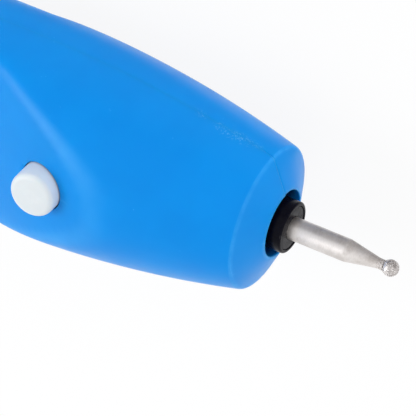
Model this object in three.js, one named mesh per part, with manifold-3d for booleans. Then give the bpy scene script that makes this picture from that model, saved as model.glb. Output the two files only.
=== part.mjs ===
// Battery engraving pen: a blue bullet-shaped case in two halves, with a white push button on an
// inclined panel, a small motor that spins a black chuck, and a steel ball burr in the chuck.
// Units are millimetres. While it is built, the pen lies along X with its tip towards +X, x is zero
// at the plane of the rounded nose rim, the axis of the motor is the X axis, and the button faces +Z.
// At the end the whole pen is moved so that the origin is under its middle, at its lowest level.

import * as THREE from "three";
import { mergeVertices } from "three/addons/utils/BufferGeometryUtils.js";
import Module from "manifold-3d";

// Driving dimensions of the case
const caseForm = {
  rimRadius: 9.6,
  rimFillet: 0.66,
  widestRadius: 14,
  widestPlace: 38,
  nosePower: 2.17,
  tailRadius: 10.5,
  tailFillet: 4,
  coneDepth: 2.24,
  holeRadius: 4.4,
  noseWall: 2,
  wall: 1.8,
  handleHeight: 7.3,
  panelFoot: 36.2,
  panelAngle: THREE.MathUtils.degToRad(24.3),
  panelBowRadius: 58,
  panelCrownRadius: 80,
};

// Clearances
const gap = {
  close: 0.05,
  running: 0.08,
  slide: 0.15,
  loose: 0.3,
  overrun: 1,
};

// Push button, its spring and the switch under it
const button = {
  place: 26.6,
  radius: 3.1,
  top: 13.45,
  edgeFillet: 0.7,
  flangeRadius: 3.9,
  flangeThickness: 0.8,
  flangeTop: 7.1,
  travel: 1.5,
  sleeveWall: 1.1,
};
const buttonSpring = { wireRadius: 0.2, coilRadius: 2.2, curls: 3 };
const switchBox = {
  length: 6.5,
  width: 7,
  top: 3,
  bottom: -2.5,
  plungerRadius: 1.3,
  plungerEntry: 2.8,
  lugLength: 2,
  lugWidth: 1.4,
  lugThickness: 0.4,
  lugHeight: -1.2,
  cheekThickness: 1,
  cheekRise: 2,
};

// Motor, in its can with two flats
const motor = {
  canRadius: 7.75,
  flatHalfHeight: 6.1,
  canFront: 7.5,
  canLength: 13.2,
  sheet: 0.8,
  bossRadius: 3,
  bossLength: 0.8,
  bellLength: 1.6,
  bellSpigot: 1.6,
  bellSpigotWall: 1.2,
  bushRadius: 2.1,
  shaftRadius: 1,
  shaftTail: 0.5,
  magnetThickness: 1.7,
  magnetSweep: THREE.MathUtils.degToRad(96),
  magnetLength: 8.4,
  terminalWidth: 1.6,
  terminalThickness: 0.4,
  terminalLength: 2,
  terminalOffset: 5.2,
};
const rotor = {
  radius: 4.6,
  length: 6,
  hubRadius: 1.9,
  neckWidth: 1.4,
  shoeThickness: 0.9,
  shoeSweep: THREE.MathUtils.degToRad(96),
  poles: 3,
  coilWidth: 0.9,
  coilOverhang: 0.9,
  commutatorRadius: 1.7,
  commutatorLength: 2.2,
  commutatorSlot: 0.3,
  brushWidth: 1,
  brushThickness: 0.35,
};

// Chuck and burr
const chuck = {
  front: 3.64,
  length: 10,
  outerRadius: 3.45,
  edgeFillet: 0.32,
  insertRadius: 2.95,
  insertInset: 0.08,
  web: 0.6,
  gripLength: 3,
};
const burr = {
  shankRadius: 1.5,
  taperStart: 11.33,
  neckStart: 15.85,
  neckRadius: 0.68,
  ballRadius: 1.12,
  ballPlace: 17.47,
  tailChamfer: 0.3,
};

// Battery bay, two AAA cells in line, their contacts and the sliding door
const cell = {
  radius: 5.25,
  length: 44.5,
  nubRadius: 1.9,
  nubHeight: 1,
  endInset: 0.4,
  shoulder: 0.6,
};
const bay = {
  bulkheadFront: 36.8,
  bulkheadThickness: 1.4,
  ribThickness: 1.2,
  ribCount: 6,
  plateThickness: 0.4,
  plateHalfWidth: 4.5,
  plateHalfHeight: 5.3,
  tabReach: 3,
  tabHeight: 1.8,
  springLength: 4.9,
  springWireRadius: 0.4,
  springLargeRadius: 3.8,
  springSmallRadius: 2.3,
  springCurls: 3,
  tailRoom: 7.2,
};
const door = {
  halfWidth: 6.3,
  lipReach: 1,
  lipThickness: 0.9,
  gripCount: 5,
  gripPitch: 2.2,
  gripWidth: 0.9,
  gripDepth: 0.45,
  gripHalfLength: 4,
  gripInset: 5,
};

// Fasteners, pins, ribs and wires
const screw = {
  headRadius: 1.75,
  headThickness: 1.3,
  shankRadius: 1,
  length: 8,
  seat: 4,
  tipLength: 0.9,
  recessLength: 2.2,
  recessWidth: 0.4,
  recessDepth: 0.6,
  bossWall: 0.8,
  waistPlace: 33,
  leadRoom: 2.4,
  tailInset: 3.8,
};
const pin = { place: 3.8, offset: 7, radius: 0.8, height: 1.8, bossWall: 0.8 };
const cradle = { ribThickness: 1.2, frontInset: 1.8, rearInset: 3.4 };
const wire = { radius: 0.6, offset: 6.6, height: 1.2, sides: 6, stepsPerSpan: 3 };

// Counts of facets
const facets = {
  body: 40,
  hollow: 28,
  round: 20,
  small: 12,
  noseRings: 10,
  tailRings: 6,
  hollowNoseRings: 5,
  hollowTailRings: 4,
  arc: 3,
  crown: 6,
  panelRings: 5,
};

// Finishes
const finish = {
  bluePlastic: { color: 0x1e8fe6, roughness: 0.38, metalness: 0 },
  whitePlastic: { color: 0xe9eff3, roughness: 0.45, metalness: 0 },
  blackPlastic: { color: 0x16171a, roughness: 0.3, metalness: 0 },
  darkPlastic: { color: 0x2b2d31, roughness: 0.55, metalness: 0 },
  steel: { color: 0xc9c7c4, roughness: 0.3, metalness: 1 },
  grit: { color: 0xd4cdc6, roughness: 0.6, metalness: 0.8 },
  zinc: { color: 0xb9bcc0, roughness: 0.35, metalness: 1 },
  bronze: { color: 0xb07a3e, roughness: 0.45, metalness: 1 },
  copper: { color: 0xb8683a, roughness: 0.4, metalness: 1 },
  iron: { color: 0x6c6f73, roughness: 0.5, metalness: 1 },
  ferrite: { color: 0x3a3a3c, roughness: 0.8, metalness: 0 },
  cellJacket: { color: 0x3c4a56, roughness: 0.35, metalness: 0.2 },
  redCover: { color: 0xc62a22, roughness: 0.5, metalness: 0 },
  blackCover: { color: 0x1c1c1e, roughness: 0.5, metalness: 0 },
};

// Places along the pen, worked out from the sizes above
const chuckRear = chuck.front - chuck.length;
const canFront = -motor.canFront;
const canRear = canFront - motor.canLength;
const bellRear = canRear - motor.bellLength;
const shaftRear = bellRear - motor.shaftTail;
const bulkheadRear = -bay.bulkheadFront - bay.bulkheadThickness;
const frontPlateRear = bulkheadRear - gap.slide - bay.plateThickness;
const frontCellTip = frontPlateRear - gap.slide;
const frontCellEnd = frontCellTip - cell.length;
const rearCellTip = frontCellEnd - gap.slide;
const rearCellEnd = rearCellTip - cell.length;
const springRear = rearCellEnd - gap.slide - bay.springLength;
const rearPlateRear = springRear - gap.slide - bay.plateThickness;
const tailBulkheadFront = rearPlateRear - gap.slide;
const tailPlace = bay.tailRoom - tailBulkheadFront;
const doorFront = frontCellTip - gap.loose;
const doorInner = -caseForm.handleHeight + caseForm.wall;
const tailScrewPlace = -tailPlace + screw.tailInset;
const headPocket = screw.headRadius + gap.slide;
const waistLeadRoom = switchBox.width / 2 + screw.leadRoom;
const waistScrewOffset = waistLeadRoom + headPocket + screw.bossWall;
const channelRadius = cell.radius + gap.loose;
const sleeveBottom = button.flangeTop + gap.loose;
const flangeBottom = button.flangeTop - button.flangeThickness;

// Solid modelling: closed three.js geometry goes in, manifold-3d cuts and joins it
const wasm = await Module();
wasm.setup();

function solidFrom(geometry) {
  const bare = geometry.clone();
  bare.deleteAttribute("normal");
  bare.deleteAttribute("uv");
  const merged = mergeVertices(bare);
  const index = merged.index.array;
  const corners = [];
  for (let i = 0; i < index.length; i += 3) {
    const [a, b, c] = [index[i], index[i + 1], index[i + 2]];
    if (a !== b && b !== c && c !== a) corners.push(a, b, c);
  }
  const build = (triangles) =>
    new wasm.Manifold(
      new wasm.Mesh({
        numProp: 3,
        vertProperties: merged.attributes.position.array,
        triVerts: new Uint32Array(triangles),
      }),
    );
  const solid = build(corners);
  return solid.volume() < 0 ? build(corners.reverse()) : solid;
}

function geometryFrom(solid) {
  const mesh = solid.getMesh();
  const geometry = new THREE.BufferGeometry();
  geometry.setAttribute("position", new THREE.BufferAttribute(mesh.vertProperties, 3));
  geometry.setIndex(new THREE.BufferAttribute(mesh.triVerts, 1));
  geometry.computeVertexNormals();
  return geometry;
}

// Basic forms, each a solid: turned about X or about an upright line, boxes, and joined rings
function turned(profile, segments = facets.round) {
  const points = profile.map(([x, radius]) => new THREE.Vector2(radius, x));
  return solidFrom(new THREE.LatheGeometry(points, segments).rotateZ(-Math.PI / 2));
}

function turnedUpright(profile, x, y, segments = facets.round) {
  const points = profile.map(([z, radius]) => new THREE.Vector2(radius, z));
  const geometry = new THREE.LatheGeometry(points, segments).rotateX(Math.PI / 2);
  return solidFrom(geometry.translate(x, y, 0));
}

function barrel(radius, xStart, xEnd, segments) {
  return turned([[xStart, 0], [xStart, radius], [xEnd, radius], [xEnd, 0]], segments);
}

function post(radius, x, y, zStart, zEnd, segments) {
  const profile = [[zStart, 0], [zStart, radius], [zEnd, radius], [zEnd, 0]];
  return turnedUpright(profile, x, y, segments);
}

function block(xRange, yRange, zRange) {
  const size = [xRange, yRange, zRange].map(([low, high]) => high - low);
  const middle = [xRange, yRange, zRange].map(([low, high]) => (low + high) / 2);
  return solidFrom(new THREE.BoxGeometry(...size).translate(...middle));
}

// Joins rings of points, all with the same count, into one closed body with flat ends
function ringed(rings) {
  const count = rings[0].length;
  const positions = rings.flat().flatMap((point) => point.toArray());
  const index = [];
  for (let ring = 0; ring + 1 < rings.length; ring++) {
    for (let i = 0; i < count; i++) {
      const next = (i + 1) % count;
      const [a, b] = [ring * count + i, ring * count + next];
      index.push(a, b, b + count, a, b + count, a + count);
    }
  }
  const last = (rings.length - 1) * count;
  for (let i = 1; i + 1 < count; i++) {
    index.push(0, i + 1, i);
    index.push(last, last + i, last + i + 1);
  }
  const geometry = new THREE.BufferGeometry();
  geometry.setAttribute("position", new THREE.Float32BufferAttribute(positions, 3));
  geometry.setIndex(index);
  return solidFrom(geometry);
}

function counted(count) {
  return Array.from({ length: count }, (_, i) => i);
}

function joined(solids) {
  return solids.reduce((whole, solid) => whole.add(solid));
}

function cut(solid, tools) {
  return tools.reduce((left, tool) => left.subtract(tool), solid);
}

// Points of the arc that rounds a corner of an outline
function roundedCorner(before, corner, after, radius, steps = facets.arc) {
  const at = new THREE.Vector2(...corner);
  const toBefore = new THREE.Vector2(...before).sub(at).normalize();
  const toAfter = new THREE.Vector2(...after).sub(at).normalize();
  const half = Math.acos(toBefore.dot(toAfter)) / 2;
  const inward = toBefore.clone().add(toAfter).normalize();
  const centre = at.clone().addScaledVector(inward, radius / Math.sin(half));
  const start = at.clone().addScaledVector(toBefore, radius / Math.tan(half)).sub(centre);
  const end = at.clone().addScaledVector(toAfter, radius / Math.tan(half)).sub(centre);
  const sweep = Math.atan2(start.cross(end), start.dot(end));
  return counted(steps + 1).map((i) => {
    const point = start.clone().rotateAround(new THREE.Vector2(), (sweep * i) / steps).add(centre);
    return point.toArray();
  });
}

// Outer form of the case: a turned body between two slabs that make the panels and the handle
function bodyRadius(x) {
  const { rimRadius, widestRadius, widestPlace, nosePower, tailRadius } = caseForm;
  if (x > -widestPlace) {
    const share = Math.min(1, 1 + x / widestPlace);
    return widestRadius - (widestRadius - rimRadius) * share ** nosePower;
  }
  const share = Math.min(1, (-x - widestPlace) / (tailPlace - widestPlace));
  return widestRadius - ((widestRadius - tailRadius) * (1 - Math.cos(Math.PI * share))) / 2;
}

function panelHeight(x) {
  const { handleHeight, panelFoot, panelAngle, panelBowRadius } = caseForm;
  const run = Math.max(0, x + panelFoot);
  return handleHeight + run * Math.tan(panelAngle) - run ** 2 / (2 * panelBowRadius);
}

function stations(from, to, count) {
  return counted(count + 1).map((i) => from + ((to - from) * i) / count);
}

// The slab's faces rise and bow from the foot of the panel to their crest, and the upper one is
// crowned across; inset moves both faces inwards
function slab(inset) {
  const { widestRadius, panelFoot, panelAngle, panelBowRadius } = caseForm;
  const { coneDepth, panelCrownRadius } = caseForm;
  const half = widestRadius + gap.overrun;
  const across = stations(half, -half, facets.crown);
  const crest = panelBowRadius * Math.tan(panelAngle) - panelFoot;
  const bowed = stations(-panelFoot, crest, facets.panelRings);
  const rings = [-tailPlace - gap.overrun, ...bowed, coneDepth + gap.overrun].map((x) => {
    const height = panelHeight(x) - inset;
    const crowned = across.map((y) => {
      const drop = panelCrownRadius - Math.sqrt(panelCrownRadius ** 2 - y ** 2);
      return new THREE.Vector3(x, y, height - drop);
    });
    return [
      new THREE.Vector3(x, -half, -height),
      new THREE.Vector3(x, half, -height),
      ...crowned,
    ];
  });
  return ringed(rings);
}

function outerForm() {
  const { rimRadius, rimFillet, coneDepth, holeRadius, widestPlace } = caseForm;
  const { tailFillet, tailRadius } = caseForm;
  const tailEnd = -tailPlace;
  const tailRings = stations(tailEnd + tailFillet + gap.overrun, -widestPlace, facets.tailRings);
  const noseRings = stations(-widestPlace, -rimFillet * 2, facets.noseRings).slice(1);
  const rings = [...tailRings, ...noseRings].map((x) => [x, bodyRadius(x)]);
  const profile = [
    [tailEnd, 0],
    ...roundedCorner([tailEnd, 0], [tailEnd, tailRadius], rings[0], tailFillet),
    ...rings,
    ...roundedCorner(rings.at(-1), [0, rimRadius], [coneDepth, holeRadius], rimFillet),
    [coneDepth, holeRadius],
    [coneDepth, 0],
  ];
  return turned(profile, facets.body).intersect(slab(0));
}

// The same form drawn inwards, with square ends: the hollow, or what ribs reach into the wall
function insetForm(inset) {
  const { widestPlace, noseWall } = caseForm;
  const tailRings = stations(-tailPlace + inset, -widestPlace, facets.hollowTailRings);
  const noseRings = stations(-widestPlace, -noseWall, facets.hollowNoseRings).slice(1);
  const rings = [...tailRings, ...noseRings].map((x) => [x, bodyRadius(x) - inset]);
  const profile = [[rings[0][0], 0], ...rings, [rings.at(-1)[0], 0]];
  return turned(profile, facets.hollow).intersect(slab(inset));
}

const outer = outerForm();
const cavity = insetForm(caseForm.wall);
const ribLimit = insetForm(caseForm.wall / 2);
const wide = caseForm.widestRadius + gap.overrun;
const full = [-wide, wide];

// Ribs, bosses and pins inside the case
function rib(xStart, thickness, openings = []) {
  return cut(ribLimit.intersect(block([xStart - thickness, xStart], full, full)), openings);
}

function motorEnvelope(clearance) {
  const flat = motor.flatHalfHeight + clearance;
  const round = barrel(motor.canRadius + clearance, bellRear, canFront, facets.round);
  return round.intersect(block([bellRear, canFront], full, [-flat, flat]));
}

function cradleRibs() {
  const envelope = motorEnvelope(gap.loose);
  const places = [canFront - cradle.frontInset, canRear + cradle.rearInset];
  return places.map((x) => rib(x, cradle.ribThickness, [envelope]));
}

// Notches in the edges of the ribs: the black lead runs in the lower ones, the red in the upper
function leadNotch(xEnd, zRange) {
  const half = wire.radius + gap.loose;
  const yRange = [wire.offset - half - gap.loose, wire.offset + half];
  return block([xEnd, -bay.bulkheadFront + gap.overrun], yRange, zRange);
}

function doorSpace(clearance) {
  const lip = door.halfWidth + door.lipReach + clearance;
  const stem = door.halfWidth + clearance;
  const xRange = [-tailPlace - gap.overrun, doorFront + clearance];
  const ledge = -caseForm.handleHeight + door.lipThickness;
  const inner = doorInner + clearance;
  return block(xRange, [-lip, lip], [ledge - clearance, inner]).add(
    block(xRange, [-stem, stem], [-caseForm.handleHeight - gap.overrun, inner]),
  );
}

function bayRibs() {
  const channel = barrel(channelRadius, tailBulkheadFront, frontPlateRear + gap.slide);
  const first = frontPlateRear - gap.slide;
  const last = springRear + gap.loose + bay.ribThickness;
  const places = stations(first, last, bay.ribCount + 1);
  return places.map((x) => rib(x, bay.ribThickness, [channel]));
}

function bulkheads() {
  return [-bay.bulkheadFront, tailBulkheadFront].map((x) => rib(x, bay.bulkheadThickness));
}

const screwPlaces = [
  { name: "case_screw_left", x: -screw.waistPlace, y: -waistScrewOffset },
  { name: "case_screw_right", x: -screw.waistPlace, y: waistScrewOffset },
  { name: "case_screw_tail", x: tailScrewPlace, y: 0 },
];
const pinPlaces = [-pin.offset, pin.offset].map((y) => ({ x: -pin.place, y }));
const screwBore = screw.shankRadius + gap.close;
const pinBore = pin.radius + gap.slide;

function shellBosses(zRange) {
  const [low, high] = zRange;
  const bosses = screwPlaces.map(({ x, y }) => post(headPocket + screw.bossWall, x, y, low, high));
  const seats = pinPlaces.map(({ x, y }) => post(pinBore + pin.bossWall, x, y, low, high));
  return joined([...bosses, ...seats]).intersect(ribLimit);
}

function switchPost() {
  const top = switchBox.bottom - gap.slide;
  const halfLength = switchBox.length / 2;
  const seatX = [-button.place - halfLength, -button.place + halfLength];
  const seatY = [-switchBox.width / 2, switchBox.width / 2];
  const rearFace = -button.place - halfLength - gap.slide;
  const cheekX = [rearFace - switchBox.cheekThickness, rearFace];
  const seat = block(seatX, seatY, [-wide, top]);
  const cheek = block(cheekX, seatY, [-wide, top + switchBox.cheekRise]);
  const tie = block([cheekX[0], seatX[1]], seatY, [-wide, top - switchBox.cheekThickness]);
  return joined([seat, cheek, tie]).intersect(ribLimit);
}

// The two halves of the case
const wholeWall = outer
  .subtract(cavity)
  .subtract(barrel(caseForm.holeRadius, -caseForm.noseWall - gap.overrun, wide));
const innerRibs = joined([...cradleRibs(), ...bayRibs(), ...bulkheads()]);

function upperShell() {
  const upperHalf = block([-tailPlace - wide, wide], full, [0, wide]);
  const sleeve = post(
    button.radius + gap.loose + button.sleeveWall,
    -button.place,
    0,
    sleeveBottom,
    wide,
  ).intersect(ribLimit);
  const buttonHole = post(button.radius + gap.loose, -button.place, 0, 0, wide);
  const pilots = screwPlaces.map(({ x, y }) =>
    post(screwBore, x, y, -gap.overrun, screw.length - screw.seat + gap.loose, facets.small),
  );
  const sockets = pinPlaces.map(({ x, y }) =>
    post(pinBore, x, y, -gap.overrun, pin.height + gap.loose, facets.small),
  );
  const notch = leadNotch(frontCellTip - bay.ribThickness * 2, [
    -gap.overrun,
    wire.height + wire.radius + gap.loose,
  ]);
  const whole = joined([wholeWall, innerRibs, shellBosses([0, wide]), sleeve]);
  return cut(whole.intersect(upperHalf), [buttonHole, notch, ...pilots, ...sockets]);
}

function lowerShell() {
  const lowerHalf = block([-tailPlace - wide, wide], full, [-wide, 0]);
  const bores = screwPlaces.map(({ x, y }) =>
    post(screwBore, x, y, -wide, gap.overrun, facets.small).add(
      post(headPocket, x, y, -wide, -screw.seat),
    ),
  );
  const pins = pinPlaces.map(({ x, y }) =>
    post(pin.radius, x, y, -gap.overrun, pin.height, facets.small),
  );
  const whole = joined([wholeWall, innerRibs, shellBosses([-wide, 0]), switchPost()]);
  const notch = leadNotch(tailBulkheadFront, [
    -wire.height - wire.radius - gap.loose,
    gap.overrun,
  ]);
  const half = cut(whole.intersect(lowerHalf), [...bores, notch, doorSpace(gap.slide)]);
  return joined([half, ...pins]);
}

function batteryDoor() {
  const grips = counted(door.gripCount).map((i) => {
    const x = doorFront - door.gripInset - door.gripPitch * i;
    const outside = -caseForm.handleHeight;
    return block(
      [x - door.gripWidth, x],
      [-door.gripHalfLength, door.gripHalfLength],
      [outside - gap.overrun, outside + door.gripDepth],
    );
  });
  return cut(doorSpace(0).intersect(outer), grips);
}

// Button, spring and switch
function buttonCap() {
  return turnedUpright(
    [
      [flangeBottom, 0],
      [flangeBottom, button.flangeRadius],
      [button.flangeTop, button.flangeRadius],
      [button.flangeTop, button.radius],
      ...roundedCorner(
        [button.flangeTop, button.radius],
        [button.top, button.radius],
        [button.top, 0],
        button.edgeFillet,
      ),
      [button.top, 0],
    ],
    -button.place,
    0,
  );
}

// A helix of wire as one unbroken tube; place gives the centre of the wire at each turn
function coil(place, curls, wireRadius) {
  const stepsPerCurl = 8;
  const sides = 5;
  const centres = stations(0, curls, curls * stepsPerCurl).map(place);
  const path = new THREE.CatmullRomCurve3(centres);
  const axis = place(curls).sub(place(0)).normalize();
  const rings = centres.map((centre, step) => {
    const along = path.getTangent(step / (centres.length - 1));
    const side = new THREE.Vector3().crossVectors(axis, along).normalize();
    const up = new THREE.Vector3().crossVectors(along, side).normalize();
    return counted(sides).map((i) => {
      const angle = (2 * Math.PI * i) / sides;
      return centre
        .clone()
        .addScaledVector(side, wireRadius * Math.cos(angle))
        .addScaledVector(up, wireRadius * Math.sin(angle));
    });
  });
  let least = Infinity;
  centres.forEach((a, i) => {
    centres.slice(i + stepsPerCurl / 2 + 1).forEach((b) => {
      least = Math.min(least, a.distanceTo(b) - wireRadius * 2);
    });
  });
  return { solid: ringed(rings), least };
}

function springOverPlunger() {
  const { wireRadius, coilRadius, curls } = buttonSpring;
  const bottom = switchBox.top + gap.slide + wireRadius;
  const top = flangeBottom - gap.slide - wireRadius;
  return coil(
    (turn) =>
      new THREE.Vector3(
        -button.place + coilRadius * Math.cos(2 * Math.PI * turn),
        coilRadius * Math.sin(2 * Math.PI * turn),
        bottom + ((top - bottom) * turn) / curls,
      ),
    curls,
    wireRadius,
  );
}

function batterySpring() {
  const { springWireRadius, springLargeRadius, springSmallRadius, springCurls } = bay;
  const rear = springRear + springWireRadius;
  const front = springRear + bay.springLength - springWireRadius;
  return coil(
    (turn) => {
      const share = turn / springCurls;
      const radius = springLargeRadius + (springSmallRadius - springLargeRadius) * share;
      return new THREE.Vector3(
        rear + (front - rear) * share,
        radius * Math.cos(2 * Math.PI * turn),
        radius * Math.sin(2 * Math.PI * turn),
      );
    },
    springCurls,
    springWireRadius,
  );
}

const plungerBottom = switchBox.top - switchBox.plungerEntry;

function switchBody() {
  const halfLength = switchBox.length / 2;
  const halfWidth = switchBox.width / 2;
  const hull = block(
    [-button.place - halfLength, -button.place + halfLength],
    [-halfWidth, halfWidth],
    [switchBox.bottom, switchBox.top],
  );
  const boreBottom = plungerBottom - button.travel - gap.loose;
  const boreRadius = switchBox.plungerRadius + gap.loose;
  return hull.subtract(post(boreRadius, -button.place, 0, boreBottom, wide, facets.small));
}

function switchPlunger() {
  return post(switchBox.plungerRadius, -button.place, 0, plungerBottom, flangeBottom, facets.small);
}

function switchLug(side) {
  const inner = switchBox.width / 2;
  const ends = [side * inner, side * (inner + switchBox.lugLength)].sort((a, b) => a - b);
  const halfWidth = switchBox.lugWidth / 2;
  return block(
    [-button.place - halfWidth, -button.place + halfWidth],
    ends,
    [switchBox.lugHeight - switchBox.lugThickness, switchBox.lugHeight],
  );
}

// Motor
const canInnerRadius = motor.canRadius - motor.sheet;
const canInnerFlat = motor.flatHalfHeight - motor.sheet;
const bellSpigotFront = canRear + motor.bellSpigot;
const rotorMiddle = (canFront - motor.sheet + bellSpigotFront) / 2 + rotor.commutatorLength / 2;
const rotorFront = rotorMiddle + rotor.length / 2;
const rotorRear = rotorMiddle - rotor.length / 2;
const bushBore = motor.shaftRadius + gap.running;

function flattened(radius, flat, xStart, xEnd) {
  return barrel(radius, xStart, xEnd).intersect(block([xStart, xEnd], full, [-flat, flat]));
}

function motorCan() {
  const boss = barrel(motor.bossRadius, canFront - motor.sheet, canFront + motor.bossLength);
  const shell = flattened(motor.canRadius, motor.flatHalfHeight, canRear, canFront).add(boss);
  const hollow = flattened(
    canInnerRadius,
    canInnerFlat,
    canRear - gap.overrun,
    canFront - motor.sheet,
  );
  const bushHole = barrel(motor.bushRadius + gap.close, canRear, wide);
  return cut(shell, [hollow, bushHole]);
}

function motorEndBell() {
  const spigotRadius = canInnerRadius - gap.close;
  const spigotFlat = canInnerFlat - gap.close;
  const cap = flattened(motor.canRadius, motor.flatHalfHeight, bellRear, canRear);
  const spigot = flattened(spigotRadius, spigotFlat, canRear - gap.close, bellSpigotFront);
  const hollow = flattened(
    spigotRadius - motor.bellSpigotWall,
    spigotFlat - motor.bellSpigotWall,
    canRear,
    bellSpigotFront + gap.overrun,
  );
  const bushHole = barrel(motor.bushRadius + gap.close, bellRear - gap.overrun, wide);
  const slots = [-1, 1].map((side) => {
    const half = motor.terminalThickness / 2 + gap.close;
    const middle = side * motor.terminalOffset;
    const width = motor.terminalWidth / 2 + gap.close;
    return block([bellRear - gap.overrun, wide], [middle - half, middle + half], [-width, width]);
  });
  return cut(cap.add(spigot), [hollow, bushHole, ...slots]);
}

function bush(xStart, xEnd) {
  return barrel(motor.bushRadius, xStart, xEnd).subtract(
    barrel(bushBore, xStart - gap.overrun, xEnd + gap.overrun),
  );
}

function magnet(side) {
  const outerRadius = canInnerRadius - gap.close;
  const innerRadius = outerRadius - motor.magnetThickness;
  const shape = new THREE.Shape();
  const middle = (-side * Math.PI) / 2;
  const [from, to] = [middle - motor.magnetSweep / 2, middle + motor.magnetSweep / 2];
  shape.absarc(0, 0, outerRadius, from, to, false);
  shape.absarc(0, 0, innerRadius, to, from, true);
  const geometry = new THREE.ExtrudeGeometry(shape, {
    depth: motor.magnetLength,
    bevelEnabled: false,
    curveSegments: facets.crown,
  });
  // The section lies in XY and runs along Z, so it is turned to lie across the X axis
  const laid = geometry.rotateX(Math.PI / 2).rotateZ(Math.PI / 2).rotateX(Math.PI / 2);
  laid.computeBoundingBox();
  const shift = rotorMiddle - (laid.boundingBox.max.x + laid.boundingBox.min.x) / 2;
  const canSpace = flattened(canInnerRadius - gap.close, canInnerFlat - gap.close, canRear, canFront);
  return solidFrom(laid.translate(shift, 0, 0)).intersect(canSpace);
}

function terminal(side) {
  const half = motor.terminalThickness / 2;
  const middle = side * motor.terminalOffset;
  const halfWidth = motor.terminalWidth / 2;
  return block(
    [bellRear - motor.terminalLength, bellSpigotFront],
    [middle - half, middle + half],
    [-halfWidth, halfWidth],
  );
}

// Each brush is a thin leaf that runs in from its terminal and lies beside the commutator
const commutatorFront = rotorRear - rotor.coilOverhang - gap.loose;
const commutatorRear = commutatorFront - rotor.commutatorLength;

function brush(side) {
  const inner = side * (rotor.commutatorRadius + gap.loose);
  const tip = inner + side * rotor.brushThickness;
  const foot = side * (motor.terminalOffset - motor.terminalThickness / 2 - gap.close);
  const halfWidth = rotor.brushWidth / 2;
  const middle = (commutatorFront + commutatorRear) / 2;
  const sorted = (a, b) => (a < b ? [a, b] : [b, a]);
  const leaf = block([middle - halfWidth, middle + halfWidth], sorted(inner, foot), [
    -rotor.brushThickness,
    0,
  ]);
  const pad = block([middle - halfWidth, middle + halfWidth], sorted(inner, tip), [
    -halfWidth,
    halfWidth,
  ]);
  return leaf.add(pad);
}

function rotorCore() {
  const hub = barrel(rotor.hubRadius, rotorRear, rotorFront);
  const halfNeck = rotor.neckWidth / 2;
  const shoeInner = rotor.radius - rotor.shoeThickness;
  const poles = counted(rotor.poles).map((pole) => {
    const neck = block([rotorRear, rotorFront], [-halfNeck, halfNeck], [0, rotor.radius - gap.loose]);
    const ring = barrel(rotor.radius, rotorRear, rotorFront).subtract(
      barrel(shoeInner, rotorRear - gap.overrun, rotorFront + gap.overrun),
    );
    const reach = rotor.radius * Math.sin(rotor.shoeSweep / 2);
    const chord = rotor.radius * Math.cos(rotor.shoeSweep / 2);
    const shoe = ring.intersect(block([rotorRear, rotorFront], [-reach, reach], [chord, wide]));
    return { solid: neck.add(shoe), degrees: (360 * pole) / rotor.poles };
  });
  const whole = joined([hub, ...poles.map(({ solid, degrees }) => solid.rotate([degrees, 0, 0]))]);
  const xBore = [rotorRear - gap.overrun, rotorFront + gap.overrun];
  const bore = barrel(motor.shaftRadius + gap.close, ...xBore);
  return whole.subtract(bore);
}

function winding(pole) {
  const halfNeck = rotor.neckWidth / 2 + gap.slide;
  const halfCoil = halfNeck + rotor.coilWidth;
  const inner = rotor.hubRadius + gap.slide;
  const shoeInner = rotor.radius - rotor.shoeThickness;
  const outerEnd = Math.sqrt(shoeInner ** 2 - halfCoil ** 2) - gap.slide;
  const xCoil = [rotorRear - rotor.coilOverhang, rotorFront + rotor.coilOverhang];
  const xNeck = [rotorRear - gap.slide, rotorFront + gap.slide];
  const bundle = block(xCoil, [-halfCoil, halfCoil], [inner, outerEnd]);
  const hole = block(xNeck, [-halfNeck, halfNeck], [inner - gap.overrun, wide]);
  const wedge = Math.tan(Math.PI / rotor.poles);
  // Neighbouring coils meet at the sixty degree line, so each keeps inside its own sector
  const sector = ringed(
    xCoil.map((x) => [
      new THREE.Vector3(x, 0, gap.slide),
      new THREE.Vector3(x, wide * wedge, wide + gap.slide),
      new THREE.Vector3(x, -wide * wedge, wide + gap.slide),
    ]),
  );
  return bundle.subtract(hole).intersect(sector).rotate([(360 * pole) / rotor.poles, 0, 0]);
}

function commutator() {
  const drum = barrel(rotor.commutatorRadius, commutatorRear, commutatorFront);
  const half = rotor.commutatorSlot / 2;
  const floor = (rotor.commutatorRadius + motor.shaftRadius) / 2;
  const xCut = [commutatorRear - gap.overrun, commutatorFront + gap.overrun];
  const slots = counted(rotor.poles).map((slot) =>
    block(xCut, [-half, half], [floor, wide]).rotate([(360 * (slot + 1 / 2)) / rotor.poles, 0, 0]),
  );
  const bore = barrel(motor.shaftRadius + gap.close, ...xCut);
  return cut(drum, [...slots, bore]);
}

// Chuck and burr
const boreFloor = chuckRear + chuck.gripLength + chuck.web;

function chuckSleeve() {
  const bore = chuck.insertRadius;
  return turned([
    [chuckRear, bore],
    [chuckRear, chuck.outerRadius],
    ...roundedCorner(
      [chuckRear, chuck.outerRadius],
      [chuck.front, chuck.outerRadius],
      [chuck.front, bore],
      chuck.edgeFillet,
    ),
    [chuck.front, bore],
    [chuckRear, bore],
  ]);
}

function chuckInsert() {
  const radius = chuck.insertRadius - gap.close;
  const front = chuck.front - chuck.insertInset;
  const body = barrel(radius, chuckRear, front);
  const bitBore = barrel(burr.shankRadius + gap.close, boreFloor, front + gap.overrun);
  const shaftBore = barrel(
    motor.shaftRadius + gap.close,
    chuckRear - gap.overrun,
    chuckRear + chuck.gripLength,
  );
  return cut(body, [bitBore, shaftBore]);
}

const burrTail = boreFloor + gap.slide;
const ballFlat = burr.ballPlace - Math.sqrt(burr.ballRadius ** 2 - burr.neckRadius ** 2);

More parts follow.
